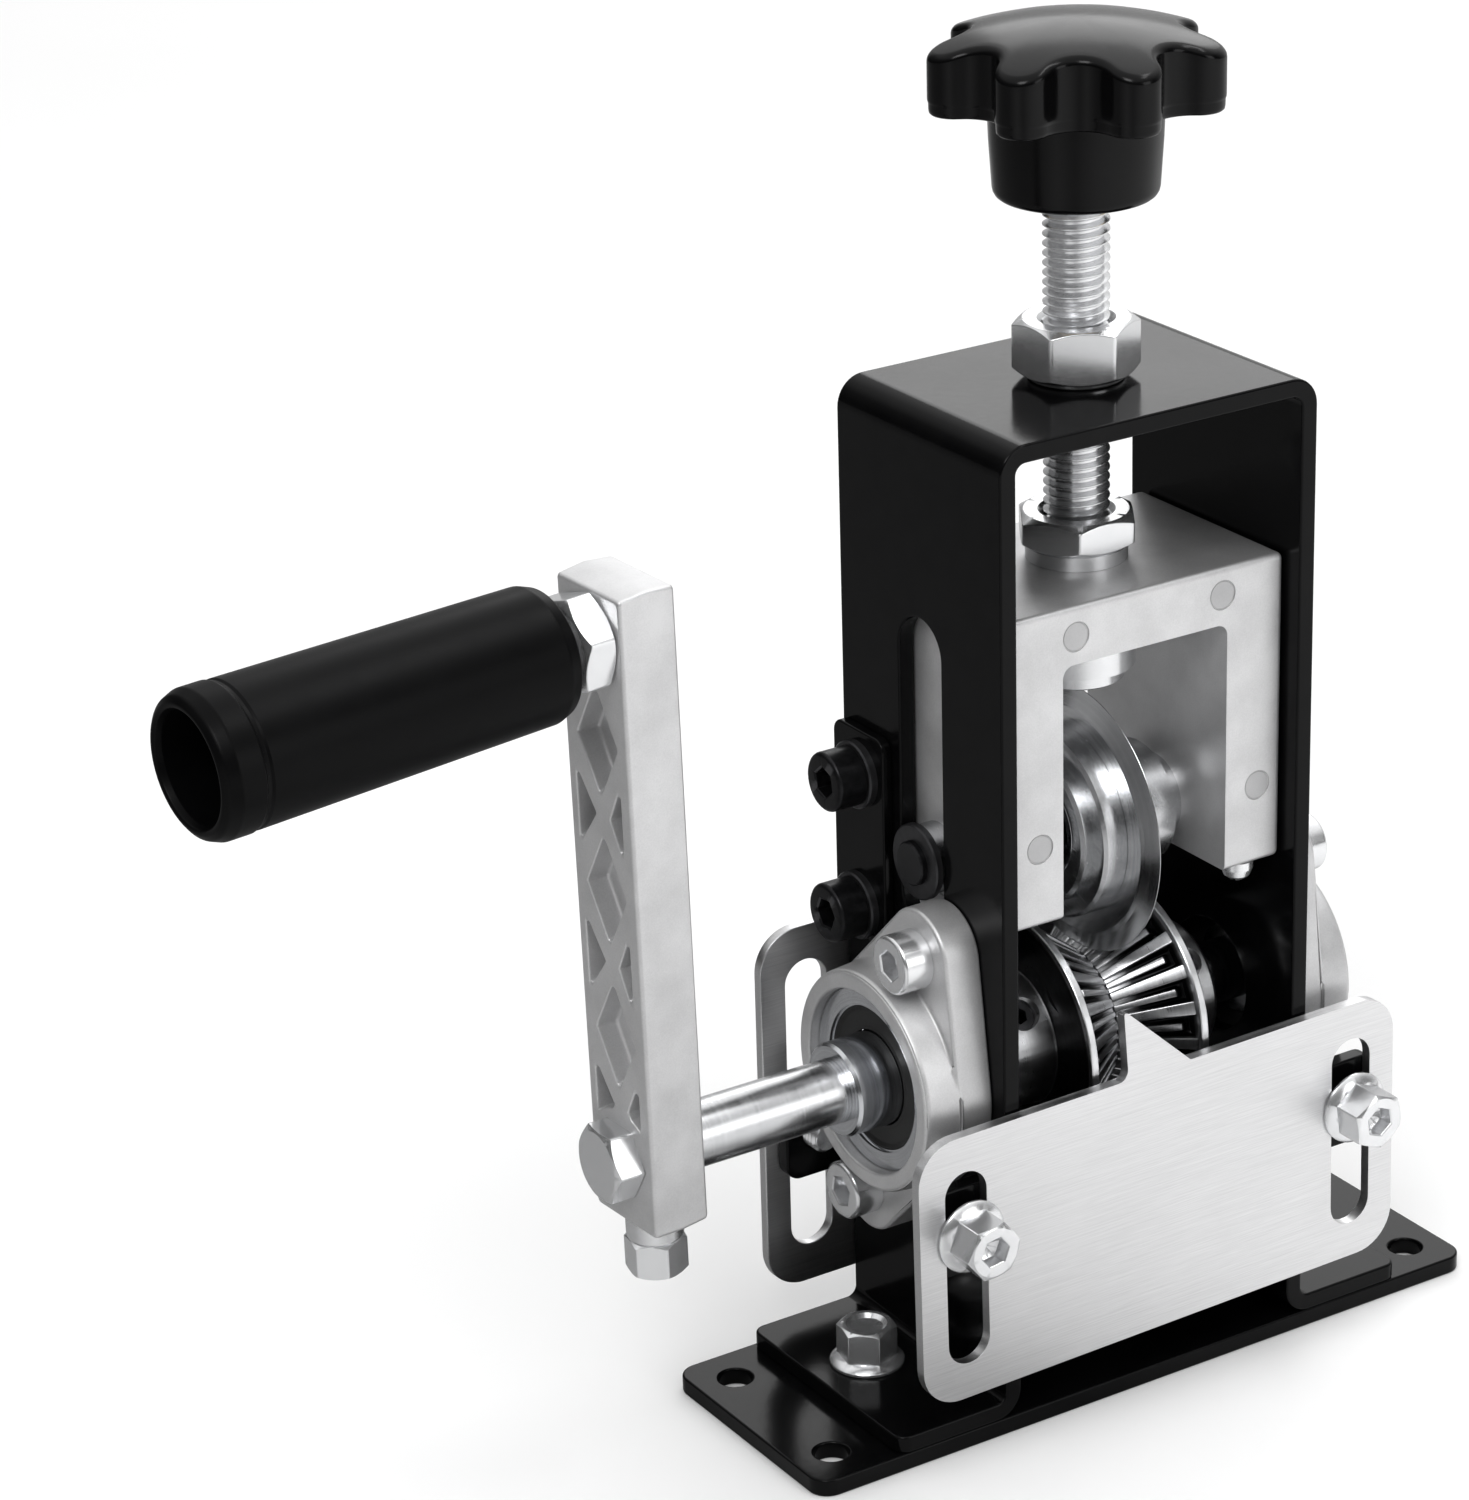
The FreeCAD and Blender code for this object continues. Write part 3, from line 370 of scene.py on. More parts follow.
def soften(node, width=0.3, segments=2, angle=28.0):
    """Rounds a CAD node's sharp edges with modifiers. Its own mesh stays as it is."""
    o = NODES[node]
    w = o.modifiers.new("weld", "WELD")
    w.merge_threshold = 2e-6
    d = o.modifiers.new("planar", "DECIMATE")
    d.decimate_type = "DISSOLVE"
    d.angle_limit = math.radians(0.4)
    b = o.modifiers.new("bevel", "BEVEL")
    b.width = width * MM
    b.segments = segments
    b.limit_method = "ANGLE"
    b.angle_limit = math.radians(angle)
    b.use_clamp_overlap = False
    b.harden_normals = False
    b.miter_outer = "MITER_ARC"
    n = o.modifiers.new("normals", "WEIGHTED_NORMAL")
    n.keep_sharp = False
    n.weight = 60


SOFT = {"u_frame": (0.45, 3), "base_plate": (0.4, 2), "side_plates": (0.4, 2), "pressure_block": (0.07, 2),
        "left_bearing_housing": (0.5, 3), "right_bearing_housing": (0.5, 3), "back_guide_plate": (0.3, 2)}
for name, (w, seg) in SOFT.items():
    soften(name, w, seg)

# =====================================================================
# mesh building, in millimetres
# =====================================================================


def fillet2d(pts, closed=True, seg=3):
    """Outline of (a, b, radius) points with each corner rounded, as a list of (a, b)."""
    out = []
    n = len(pts)
    for i, (a, b, rad) in enumerate(pts):
        if rad <= 0 or (not closed and i in (0, n - 1)):
            out.append((a, b))
            continue
        p = Vector((a, b))
        q0, q1 = pts[i - 1], pts[(i + 1) % n]
        u0, u1 = Vector((q0[0] - a, q0[1] - b)), Vector((q1[0] - a, q1[1] - b))
        l0, l1 = u0.length, u1.length
        if l0 < 1e-6 or l1 < 1e-6:
            out.append((a, b))
            continue
        u0, u1 = u0 / l0, u1 / l1
        ang = math.acos(max(-1.0, min(1.0, u0.dot(u1))))
        if ang > math.radians(178):
            out.append((a, b))
            continue
        cut = min(rad / math.tan(ang / 2), 0.45 * l0, 0.45 * l1)
        r = cut * math.tan(ang / 2)
        s, e = p + u0 * cut, p + u1 * cut
        c = p + (u0 + u1).normalized() * (r / math.sin(ang / 2))
        v0, v1 = s - c, e - c
        turn = math.atan2(v0.x * v1.y - v0.y * v1.x, v0.dot(v1))
        for k in range(seg + 1):
            t = turn * k / seg
            out.append((c.x + v0.x * math.cos(t) - v0.y * math.sin(t), c.y + v0.x * math.sin(t) + v0.y * math.cos(t)))
    return out


def loft(bm, rings, m=None):
    """Joins rings of points with quads. A ring of one point is a pole."""
    prev = None
    for ring in rings:
        cur = [bm.verts.new((m @ Vector(p)) if m else Vector(p)) for p in ring]
        if prev is not None:
            n = max(len(prev), len(cur))
            for i in range(n):
                j = (i + 1) % n
                if len(prev) == 1:
                    bm.faces.new((prev[0], cur[j], cur[i]))
                elif len(cur) == 1:
                    bm.faces.new((prev[i], prev[j], cur[0]))
                else:
                    bm.faces.new((prev[i], prev[j], cur[j], cur[i]))
        prev = cur


def ring_at(z, r, thetas):
    """One ring: r and z are numbers, or functions of the angle."""
    out = []
    for t in thetas:
        rr = r(t) if callable(r) else r
        zz = z(t) if callable(z) else z
        out.append((rr * math.cos(t), rr * math.sin(t), zz))
    return out


def round_thetas(n, spin=0.0):
    return [TAU * i / n + spin for i in range(n)]


HEX_STEPS = (-29.9, -28.6, -27.0, -22.0, -16.0, -9.0, 0.0, 9.0, 16.0, 22.0, 27.0, 28.6, 29.9)


def hex_thetas(spin):
    """Angles round a hexagon whose corner is at spin degrees, closer together at the corners."""
    return [math.radians(spin + 30 + 60 * k + s) for k in range(6) for s in HEX_STEPS]


def hex_r(af, spin, soft=0.988):
    rc = af / math.sqrt(3.0)

    def f(t):
        phi = (math.degrees(t) - spin) % 60.0 - 30.0
        return min(af / 2 / math.cos(math.radians(phi)), rc * soft)
    return f


def turned_rings(profile, thetas):
    """profile: (along, radius) points; a radius of 0 makes a pole."""
    rings = []
    for a, r in profile:
        rings.append([(0.0, 0.0, a)] if r <= 1e-6 else ring_at(a, r, thetas))
    return rings


def put(p, d, spin=0.0):
    """Matrix that takes a shape drawn along +Z to p, pointing along d."""
    q = Vector((0, 0, 1)).rotation_difference(Vector(d))
    return Matrix.Translation(Vector(p)) @ q.to_matrix().to_4x4() @ Matrix.Rotation(math.radians(spin), 4, "Z")


CRANK_P = Vector((-93.0, 0.0, 66.1))
CRANK_M = (Matrix.Translation(CRANK_P) @ Matrix.Rotation(math.radians(4.26), 4, "Z") @ Matrix.Rotation(math.radians(-1.96), 4, "Y")
           @ Matrix.Rotation(math.radians(1.02), 4, "X") @ Matrix.Translation(-CRANK_P))


def make(name, bm, mat, body, nodes=(), angle=32.0, bevel=0.0, seg=2, bevel_angle=30.0, weld=1e-4):
    """Finishes a mesh drawn in millimetres into a piece that rides on its body."""
    bmesh.ops.remove_doubles(bm, verts=bm.verts, dist=weld)
    bmesh.ops.recalc_face_normals(bm, faces=bm.faces)
    bmesh.ops.scale(bm, vec=(MM, MM, MM), verts=bm.verts)
    lim = math.radians(angle)
    for f in bm.faces:
        f.smooth = True
    if not bevel:
        for e in bm.edges:
            e.smooth = not (len(e.link_faces) == 2 and e.calc_face_angle(0) > lim)
    me = bpy.data.meshes.new(name)
    bm.to_mesh(me)
    bm.free()
    o = bpy.data.objects.new(name, me)
    scene.collection.objects.link(o)
    if bevel:
        b = o.modifiers.new("bevel", "BEVEL")
        b.width = bevel * MM
        b.segments = seg
        b.limit_method = "ANGLE"
        b.angle_limit = math.radians(bevel_angle)
        b.use_clamp_overlap = True
    w = o.modifiers.new("normals", "WEIGHTED_NORMAL")
    w.keep_sharp = not bevel
    w.weight = 50
    use_material(o, MATS[mat])
    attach(o, body)
    if nodes:
        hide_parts(*nodes)
    return o


def lathe(bm, profile, m=None, n=96, closed=True, seg=3, spin=0.0):
    """Adds a turned shape. profile: (along, radius, corner radius) points."""
    pts = fillet2d(profile, closed=closed, seg=seg)
    if closed:
        pts = pts + [pts[0]]
    loft(bm, turned_rings(pts, round_thetas(n, math.radians(spin))), m)


# ---------------------------------------------------------------- nuts and screws


def chamfer_z(top, r_top, rf, slope=0.577):
    return lambda t: top - max(0.0, rf(t) - r_top) * slope


def chamfer_z_low(bottom, r_bot, rf, slope=0.577):
    return lambda t: bottom + max(0.0, rf(t) - r_bot) * slope


def hex_nut(bm, af, z0, z1, bore, m=None, spin=0.0, low_chamfer=True, washer=None):
    """A hexagon nut with conical chamfers and a countersunk bore. washer: (radius, height) of a round face below."""
    th, rf = hex_thetas(spin), hex_r(af, spin)
    rt = af / 2 * 0.955
    rings = [ring_at(z0 if not washer else z0 - washer[1], bore, th)]
    if washer:
        rings += [ring_at(z0 - washer[1], washer[0] - 0.25, th), ring_at(z0 - washer[1] + 0.25, washer[0], th), ring_at(z0 - 0.02, washer[0], th)]
    if low_chamfer:
        rings += [ring_at(z0, rt, th), ring_at(chamfer_z_low(z0, rt, rf), rf, th)]
    else:
        rings += [ring_at(z0, rf, th)]
    rings += [ring_at(chamfer_z(z1, rt, rf), rf, th), ring_at(z1, rt, th), ring_at(z1, bore + 1.0, th), ring_at(z1 - 0.9, bore, th), rings[0]]
    loft(bm, rings, m)


def hex_head(bm, af, z0, z1, m=None, spin=0.0, socket=0.0, depth=3.0, dish=0.0, flange=None):
    """A screw's head from its seat up: flange (radius, rim, radius at the hexagon, height), hexagon, chamfer and socket or dish."""
    th, rf = hex_thetas(spin), hex_r(af, spin)
    rt = af / 2 * 0.94
    rings = [[(0.0, 0.0, z0)]]
    if flange:
        fr, rim, fi, fh = flange
        rings += [ring_at(z0, fr - 0.15, th), ring_at(z0 + 0.12, fr, th), ring_at(z0 + rim, fr, th), ring_at(z0 + rim + 0.15, fr - 0.15, th),
                  ring_at(z0 + (rim + fh) / 2, (fr + fi) / 2 + 0.15, th), ring_at(z0 + fh, lambda t: max(fi, rf(t) + 0.12), th), ring_at(z0 + fh + 0.1, rf, th)]
    else:
        rings += [ring_at(z0, rf, th)]
    rings += [ring_at(chamfer_z(z1, rt, rf), rf, th), ring_at(z1, rt, th)]
    if socket:
        sr = hex_r(socket, spin, 1.0)
        rings += [ring_at(z1, lambda t: sr(t) + 0.25, th), ring_at(z1 - 0.25, sr, th), ring_at(z1 - depth, sr, th), [(0.0, 0.0, z1 - depth - 0.8)]]
    elif dish:
        rings += [ring_at(z1, rt * 0.82, th), ring_at(z1 - dish * 0.8, rt * 0.66, th), ring_at(z1 - dish, rt * 0.3, th), [(0.0, 0.0, z1 - dish)]]
    else:
        rings += [[(0.0, 0.0, z1)]]
    loft(bm, rings, m)


def socket_head(bm, r, h, socket, depth, m=None, spin=0.0):
    """A round socket-head cap screw with a small chamfer, its socket bevelled."""
    th = hex_thetas(spin)
    sr = hex_r(socket, spin, 1.0)
    rings = [[(0.0, 0.0, 0.0)], ring_at(0.0, r - 0.1, th), ring_at(0.12, r, th), ring_at(h - 0.75, r, th), ring_at(h - 0.42, r - 0.12, th), ring_at(h - 0.15, r - 0.4, th),
             ring_at(h, r - 0.8, th), ring_at(h, lambda t: sr(t) + 0.35, th), ring_at(h - 0.3, sr, th), ring_at(h - depth, sr, th), [(0.0, 0.0, h - depth - 0.8)]]
    loft(bm, rings, m)


def shank(bm, r, length, m=None, n=48, pitch=0.0, up=0.0):
    """A screw's shank, from up down to -length, with a rolled thread where pitch is given."""
    if not pitch:
        lathe(bm, [(-length, 0, 0), (-length, r - 0.6, 0), (-length + 0.6, r, 0), (up, r, 0), (up, 0, 0)], m, n=n, closed=False)
        return
    thread(bm, r, pitch, -length, up, m, n)


def thread(bm, r, pitch, z0, z1, m=None, n=40):
    """An outside thread: a helical band per row of (place in the pitch, radius) points, cut off flat at both ends."""
    depth = 0.61 * pitch
    prof = [(0.0, r - depth), (0.13, r - depth), (0.43, r - 0.06 * pitch), (0.47, r), (0.56, r), (0.60, r - 0.06 * pitch), (0.90, r - depth)]
    turns = int(math.ceil((z1 - z0) / pitch)) + 2
    rows = []
    for i in range(turns * n + 1):
        t = TAU * i / n
        base = z0 - pitch + pitch * i / n
        row = []
        for a, rr in prof + [(1.0, r - depth)]:
            z = base + a * pitch
            rc = rr
            if z < z0:
                z = z0
            if z > z1:
                z = z1
            d = min(z - z0, z1 - z)
            rc = min(rc, r - depth + d)
            p = Vector((rc * math.cos(t), rc * math.sin(t), z))
            row.append(bm.verts.new((m @ p) if m else p))
        rows.append(row)
    for a, b in zip(rows, rows[1:]):
        for j in range(len(prof)):
            quad = (a[j], b[j], b[j + 1], a[j + 1])
            if max(abs(quad[0].co[k] - quad[3].co[k]) for k in range(3)) < 1e-6 and max(abs(quad[1].co[k] - quad[2].co[k]) for k in range(3)) < 1e-6:
                continue
            bm.faces.new(quad)
    for z in (z0, z1):
        ring = [Vector(((r - depth) * math.cos(TAU * i / n), (r - depth) * math.sin(TAU * i / n), z)) for i in range(n)]
        loft(bm, [[tuple(v) for v in ring], [(0.0, 0.0, z)]], m)

# ---------------------------------------------------------------- star knob


def star_points(inset, lobe_dir=209.4, lobes=7, dl=21.2, rl=4.9, dv=24.845, rv=5.945):
    """Outline of the seven-lobed knob, moved inwards by inset: lobe arcs and hollow arcs that meet tangentially."""
    pts = []
    hs = math.pi / lobes
    for k in range(lobes):
        a = math.radians(lobe_dir) + 2 * hs * k
        ax, ay = dl * math.cos(a), dl * math.sin(a)
        half = math.atan2(dv * math.sin(hs), dv * math.cos(hs) - dl)
        for i in range(17):
            t = a - half + 2 * half * i / 16
            pts.append((ax + (rl - inset) * math.cos(t), ay + (rl - inset) * math.sin(t)))
        b = a + hs
        bx, by = dv * math.cos(b), dv * math.sin(b)
        t0, t1 = a + half + math.pi, 2 * (b + math.pi) - (a + half + math.pi)
        for i in range(1, 12):
            t = t0 + (t1 - t0) * i / 12
            pts.append((bx + (rv + inset) * math.cos(t), by + (rv + inset) * math.sin(t)))
    return pts


def star_knob():
    bm = bmesh.new()
    crown = lambda x, y: 182.5 + math.sqrt(72.5 ** 2 - x * x - y * y)
    base = star_points(0.0)
    ang = [math.atan2(y, x) for x, y in base]
    circle = lambda r, z: [(r * math.cos(t), r * math.sin(t), z) for t in ang]
    rings = [[(0.0, 0.0, 226.0)], circle(8.0, 226.0), circle(8.0, 223.9), circle(8.3, 223.7), circle(13.3, 223.7), circle(13.75, 223.8), circle(14.2, 224.15), circle(14.5, 224.7),
             circle(14.65, 225.4), circle(15.2, 234.0), circle(15.35, 238.2), circle(15.5, 238.9), circle(15.75, 239.3), circle(16.3, 239.5)]
    for s, z in ((1.1, 239.5), (0.6, 239.6), (0.28, 239.9), (0.2, 240.5), (0.18, 241.5), (0.12, 241.75), (0.03, 241.95), (0.0, 242.3)):
        rings.append([(x, y, z) for x, y in star_points(s)])
    rf = 1.35
    for k in range(5):
        t = k / 8.0 * 0.9
        rings.append([(x, y, 242.3 + (crown(x, y) - rf - 242.3) * (k + 1) / 5) for x, y in star_points(0.0)])
    for k in range(1, 6):
        phi = math.radians(90 * k / 5)
        s = rf * (1 - math.cos(phi))
        rings.append([(x, y, crown(x, y) - rf * (1 - math.sin(phi)) - 0.10 * math.sin(phi)) for x, y in star_points(s)])
    inner = star_points(rf)
    for sc in (0.93, 0.8, 0.65, 0.5, 0.35, 0.2, 0.08):
        rings.append([(x * sc, y * sc, crown(x * sc, y * sc) - 0.1) for x, y in inner])
    rings.append([(0.0, 0.0, 254.9)])
    loft(bm, rings)
    return make("knob_star", bm, "knob_plastic", "knob_screw", ["star_knob"], angle=48)


star_knob()

# ---------------------------------------------------------------- pressure screw, nuts

bm = bmesh.new()
thread(bm, 5.95, 1.75, 134.55, 239.9, n=48)
make("pressure_rod", bm, "zinc", "knob_screw", ["pressure_screw"], angle=22, weld=1e-3)

bm = bmesh.new()
hex_nut(bm, 20.0, 191.6, 201.5, 5.97, spin=210.9, washer=(8.8, 0.95))
make("lock_nut_top", bm, "zinc", "frame", ["top_nut"], bevel=0.16)
bm = bmesh.new()
hex_nut(bm, 20.0, 160.05, 166.0, 5.97, spin=237.4)
make("lock_nut_lower", bm, "zinc", "knob_screw", ["jam_nut"], bevel=0.16)

# ---------------------------------------------------------------- flange screws


def flange_screw(bm, m, spin, dish=0.0):
    mm = m @ Matrix.Rotation(math.radians(spin), 4, "Z")
    if dish:
        hex_head(bm, 10.0, 0.0, 7.9, mm, 0.0, flange=(7.0, 0.6, 5.7, 1.6), dish=dish)
    else:
        hex_head(bm, 10.0, 0.0, 7.9, mm, 0.0, flange=(7.0, 0.6, 5.7, 1.6), socket=5.0, depth=3.0)


YF = 27.65
bm = bmesh.new()
for i, sx in enumerate((-1, 1)):
    flange_screw(bm, put((sx * 43.7, -YF, 45.4), (0, -1, 0)), 8 + 30 * i)
    shank(bm, 2.98, 8.9, put((sx * 43.7, -YF, 45.4), (0, -1, 0)), pitch=1.0, up=-0.05)
make("guide_screws_front", bm, "zinc", "frame", ["front_plate_bolts"], bevel=0.10)
bm = bmesh.new()
for i, sx in enumerate((-1, 1)):
    flange_screw(bm, put((sx * 43.7, YF, 45.4), (0, 1, 0)), 40 * i)
    shank(bm, 2.98, 8.9, put((sx * 43.7, YF, 45.4), (0, 1, 0)), pitch=1.0, up=-0.05)
make("guide_screws_back", bm, "zinc", "frame", ["back_plate_bolts"], bevel=0.10)
bm = bmesh.new()
for i, sx in enumerate((-1, 1)):
    flange_screw(bm, put((sx * 46.5, 2.5, 6.8), (0, 0, 1)), 20 + 25 * i, dish=0.9)
    shank(bm, 2.98, 6.4, put((sx * 46.5, 2.5, 6.8), (0, 0, 1)), pitch=1.0, up=-0.05)
make("foot_screws", bm, "zinc", "frame", ["foot_bolts"], bevel=0.10)

# ---------------------------------------------------------------- socket-head screws

bm = bmesh.new()
for side in (-1, 1):
    for k in (1, -1):
        m = put((side * 41.6, k * -8.7, 66.1 + k * 26.2), (side, 0, 0))
        socket_head(bm, 5.5, 6.0, 5.0, 3.0, m, 12 * k)
        shank(bm, 2.98, 10.5, m, pitch=1.0, up=-0.05)
make("housing_screws", bm, "zinc", "frame", ["bearing_cap_screws"], bevel=0.08)
bm = bmesh.new()
for side in (-1, 1):
    for y, z, spin in ((17.0, 118.0, 10), (17.3, 92.0, 35)):
        m = put((side * 38.0, y, z), (side, 0, 0))
        socket_head(bm, 5.6, 6.0, 5.0, 3.2, m, spin)
        shank(bm, 2.98, 6.7, m, pitch=1.0, up=-0.05)
make("side_screws", bm, "black_oxide", "frame", ["side_plate_screws"], bevel=0.08)

# ---------------------------------------------------------------- crank hardware

bm = bmesh.new()
m = put((-98.6, 0, 66.1), (-1, 0, 0))
hex_head(bm, 13.0, 0.0, 5.4, m @ Matrix.Rotation(math.radians(28.5), 4, "Z"), 0.0)
shank(bm, 3.98, 16.4, m, pitch=1.25, up=-0.05)
make("crank_end_screw", bm, "zinc", "drive", ["crank_end_bolt"], bevel=0.12)

bm = bmesh.new()
m = CRANK_M @ put((-93.0, 0, 66.1 - 12.7), (0, 0, -1))
th, rf, rt = hex_thetas(14.0), hex_r(10.0, 14.0), 4.75
loft(bm, [[(0.0, 0.0, 0.0)], ring_at(0.0, 5.05, th), ring_at(0.15, 5.2, th), ring_at(4.0, 5.2, th), ring_at(4.35, 5.1, th), ring_at(4.5, 4.8, th), ring_at(4.65, rt, th),
          ring_at(chamfer_z_low(4.65, rt, rf), rf, th), ring_at(chamfer_z(11.5, rt, rf), rf, th), ring_at(11.5, rt, th), [(0.0, 0.0, 11.5)]], m)
shank(bm, 2.98, 6.4, m, pitch=1.0, up=-0.05)
make("crank_clamp_screw", bm, "zinc", "drive", ["crank_clamp_bolt"], bevel=0.12)

bm = bmesh.new()
hex_nut(bm, 16.0, 0.0, 6.3, 5.03, CRANK_M @ put((-99.0, 0, 166.0 - 0.05), (-1, 0, 0)), spin=46.5)
make("handle_hex_nut", bm, "zinc", "drive", ["handle_nut"], bevel=0.14)

# ---------------------------------------------------------------- hand grip

bm = bmesh.new()
grip_profile = [(107.5, 5.2, 0.2), (107.5, 9.7, 0.9), (108.2, 11.2, 1.2), (110.6, 12.05, 2.0), (168.5, 12.72, 0.3), (169.0, 12.5, 0.3), (169.7, 12.58, 0.3), (170.1, 12.9, 0.35),
                (174.4, 12.9, 1.6), (176.5, 12.1, 1.4), (177.3, 11.0, 0.8), (177.2, 10.2, 0.7), (175.9, 9.75, 0.7), (120.5, 9.6, 0.5), (120.5, 5.2, 0.2)]
lathe(bm, grip_profile, CRANK_M @ put((0, 0, 165.95), (-1, 0, 0)), n=128, seg=5)
make("crank_grip", bm, "grip_plastic", "grip", ["handle_grip"], angle=40)

# ---------------------------------------------------------------- feed wheels


def feed_wheel(side, phase):
    half, land, rw, vr, hub_r, hub, bore = 13.3, 1.75, 23.75, 13.9, 13.0, 10.3, 6.03
    ro = rw - 1.15
    x1 = half - land
    slope = (ro - vr) / x1
    nl = math.hypot(1, slope)
    nx, nr = -slope / nl, 1 / nl
    pitch = math.radians(18)
    place = Matrix(((0, 0, side, -0.6), (1, 0, 0, 0), (0, 1, 0, 66.1), (0, 0, 0, 1)))
    bm = bmesh.new()

    def row(u):
        x = 0.05 + (x1 - 0.05) * u
        r = vr + slope * x
        a = (0.72 + 0.50 * u) / r
        b = (0.42 + 0.30 * u) / r
        f = (0.10 + 0.30 * u) / r
        d = 0.30 + 2.0 * u
        minor = 0.06 + 0.22 * u if u < 0.80 else (0.24 + (d - 0.24) * min(1.0, (u - 0.80) / 0.06))
        crown = 0.07 + 0.05 * u
        cols = [(-a, crown), (-a * 0.7, 0.0), (a * 0.7, 0.0), (a, crown), (a + f, d * 0.8), (a + 2.0 * f, d), (pitch / 2 - b - 2.0 * f, d), (pitch / 2 - b - f, minor + (d - minor) * 0.8),
                (pitch / 2 - b, minor + crown), (pitch / 2, minor), (pitch / 2 + b, minor + crown), (pitch / 2 + b + f, minor + (d - minor) * 0.8), (pitch / 2 + b + 2.0 * f, d),
                (pitch - a - 2.0 * f, d), (pitch - a - f, d * 0.8)]
        ring = []
        for k in range(20):
            for off, dep in cols:
                t = math.radians(phase) + pitch * k + off
                rr, xx = r - nr * dep, x - nx * dep
                ring.append((rr * math.cos(t), rr * math.sin(t), min(xx, x1)))
        return ring
    base = row(0.0)
    ang = [math.atan2(p[1], p[0]) for p in base]
    circle = lambda x, r: [(r * math.cos(t), r * math.sin(t), x) for t in ang]
    rings = [circle(0.02, bore), circle(0.02, vr - 0.6)]
    rings += [row(u) for u in (0.0, 0.08, 0.2, 0.35, 0.5, 0.65, 0.78, 0.80, 0.82, 0.84, 0.86, 0.93, 1.0)]
    rings += [circle(x1, rw - 0.45), circle(x1 + 0.1, rw - 0.15), circle(x1 + 0.3, rw), circle(half - 0.3, rw), circle(half - 0.1, rw - 0.1), circle(half, rw - 0.3),
              circle(half, rw - 2.2), circle(half - 0.05, rw - 2.3), circle(half - 0.05, hub_r + 0.5), circle(half + 0.1, hub_r + 0.12), circle(half + 0.5, hub_r), circle(half + hub - 0.8, hub_r),
              circle(half + hub - 0.2, hub_r - 0.3), circle(half + hub, hub_r - 0.8), circle(half + hub, bore + 0.7), circle(half + hub - 0.7, bore), circle(0.02, bore)]
    loft(bm, rings, place)
    name = "feed_wheel_right" if side > 0 else "feed_wheel_left"
    o = make(name, bm, "wheel_steel", "drive", ["right_feed_wheel" if side > 0 else "left_feed_wheel"], angle=26)
    # the set screw's hole, countersunk
    cb = bmesh.new()
    t = math.radians(135)
    m = place @ put((0, 0, half + 5.2), (math.cos(t), math.sin(t), 0))
    lathe(cb, [(4.0, 0, 0), (4.0, 3.05, 0), (12.2, 3.05, 0), (13.3, 3.9, 0), (16.0, 6.0, 0), (16.0, 0, 0)], m, n=48, closed=False)
    bmesh.ops.remove_doubles(cb, verts=cb.verts, dist=1e-4)
    bmesh.ops.recalc_face_normals(cb, faces=cb.faces)
    bmesh.ops.scale(cb, vec=(MM, MM, MM), verts=cb.verts)
    cut_away(o, cb)
    return o


def cut_away(o, cutter_bm, angle=26.0):
    """Cuts a closed mesh out of a piece, once, while the scene is made."""
    me = bpy.data.meshes.new("cutter")
    cutter_bm.to_mesh(me)
    cutter_bm.free()
    c = bpy.data.objects.new("cutter", me)
    body = bpy.data.objects.new("uncut", o.data)
    scene.collection.objects.link(c)
    scene.collection.objects.link(body)
    mod = body.modifiers.new("cut", "BOOLEAN")
    mod.operation = "DIFFERENCE"
    mod.solver = "EXACT"
    mod.object = c
    dg = bpy.context.evaluated_depsgraph_get()
    dg.update()
    new = bpy.data.meshes.new_from_object(body.evaluated_get(dg), depsgraph=dg)
    bpy.data.objects.remove(c)
    bpy.data.objects.remove(body)
    if len(new.polygons) > 0.5 * len(o.data.polygons):
        bm = bmesh.new()
        bm.from_mesh(new)
        bmesh.ops.remove_doubles(bm, verts=bm.verts, dist=2e-7)
        for f in bm.faces:
            f.smooth = True
        for e in bm.edges:
            e.smooth = not (len(e.link_faces) == 2 and e.calc_face_angle(0) > math.radians(angle))
        bm.to_mesh(new)
        bm.free()
        o.data = new


feed_wheel(1, 127.0)
feed_wheel(-1, 131.0)

# ---------------------------------------------------------------- crank arm


def offset_poly(pts, d):
    """Moves each edge of a counter-clockwise outline inwards by d; pts are (a, b, corner radius)."""
    n = len(pts)
    out = []
    for i in range(n):
        p0, p, p1 = (Vector(pts[j % n][:2]) for j in (i - 1, i, i + 1))
        u, v = (p - p0).normalized(), (p1 - p).normalized()
        nu, nv = Vector((-u.y, u.x)), Vector((-v.y, v.x))
        k = 1.0 + nu.dot(nv)
        q = p + (nu + nv) * (d / k)
        out.append((q.x, q.y, pts[i][2]))
    return out


def cap(bm, loops, normal, m):
    """Fills flat loops (the first one outside, the rest holes) with triangles."""
    edges = []
    for loop in loops:
        vs = [bm.verts.new(m @ Vector(p)) for p in loop]
        edges += [bm.edges.new((vs[i - 1], vs[i])) for i in range(len(vs))]
    bmesh.ops.triangle_fill(bm, use_beauty=True, use_dissolve=False, edges=edges, normal=m.to_3x3() @ Vector(normal))


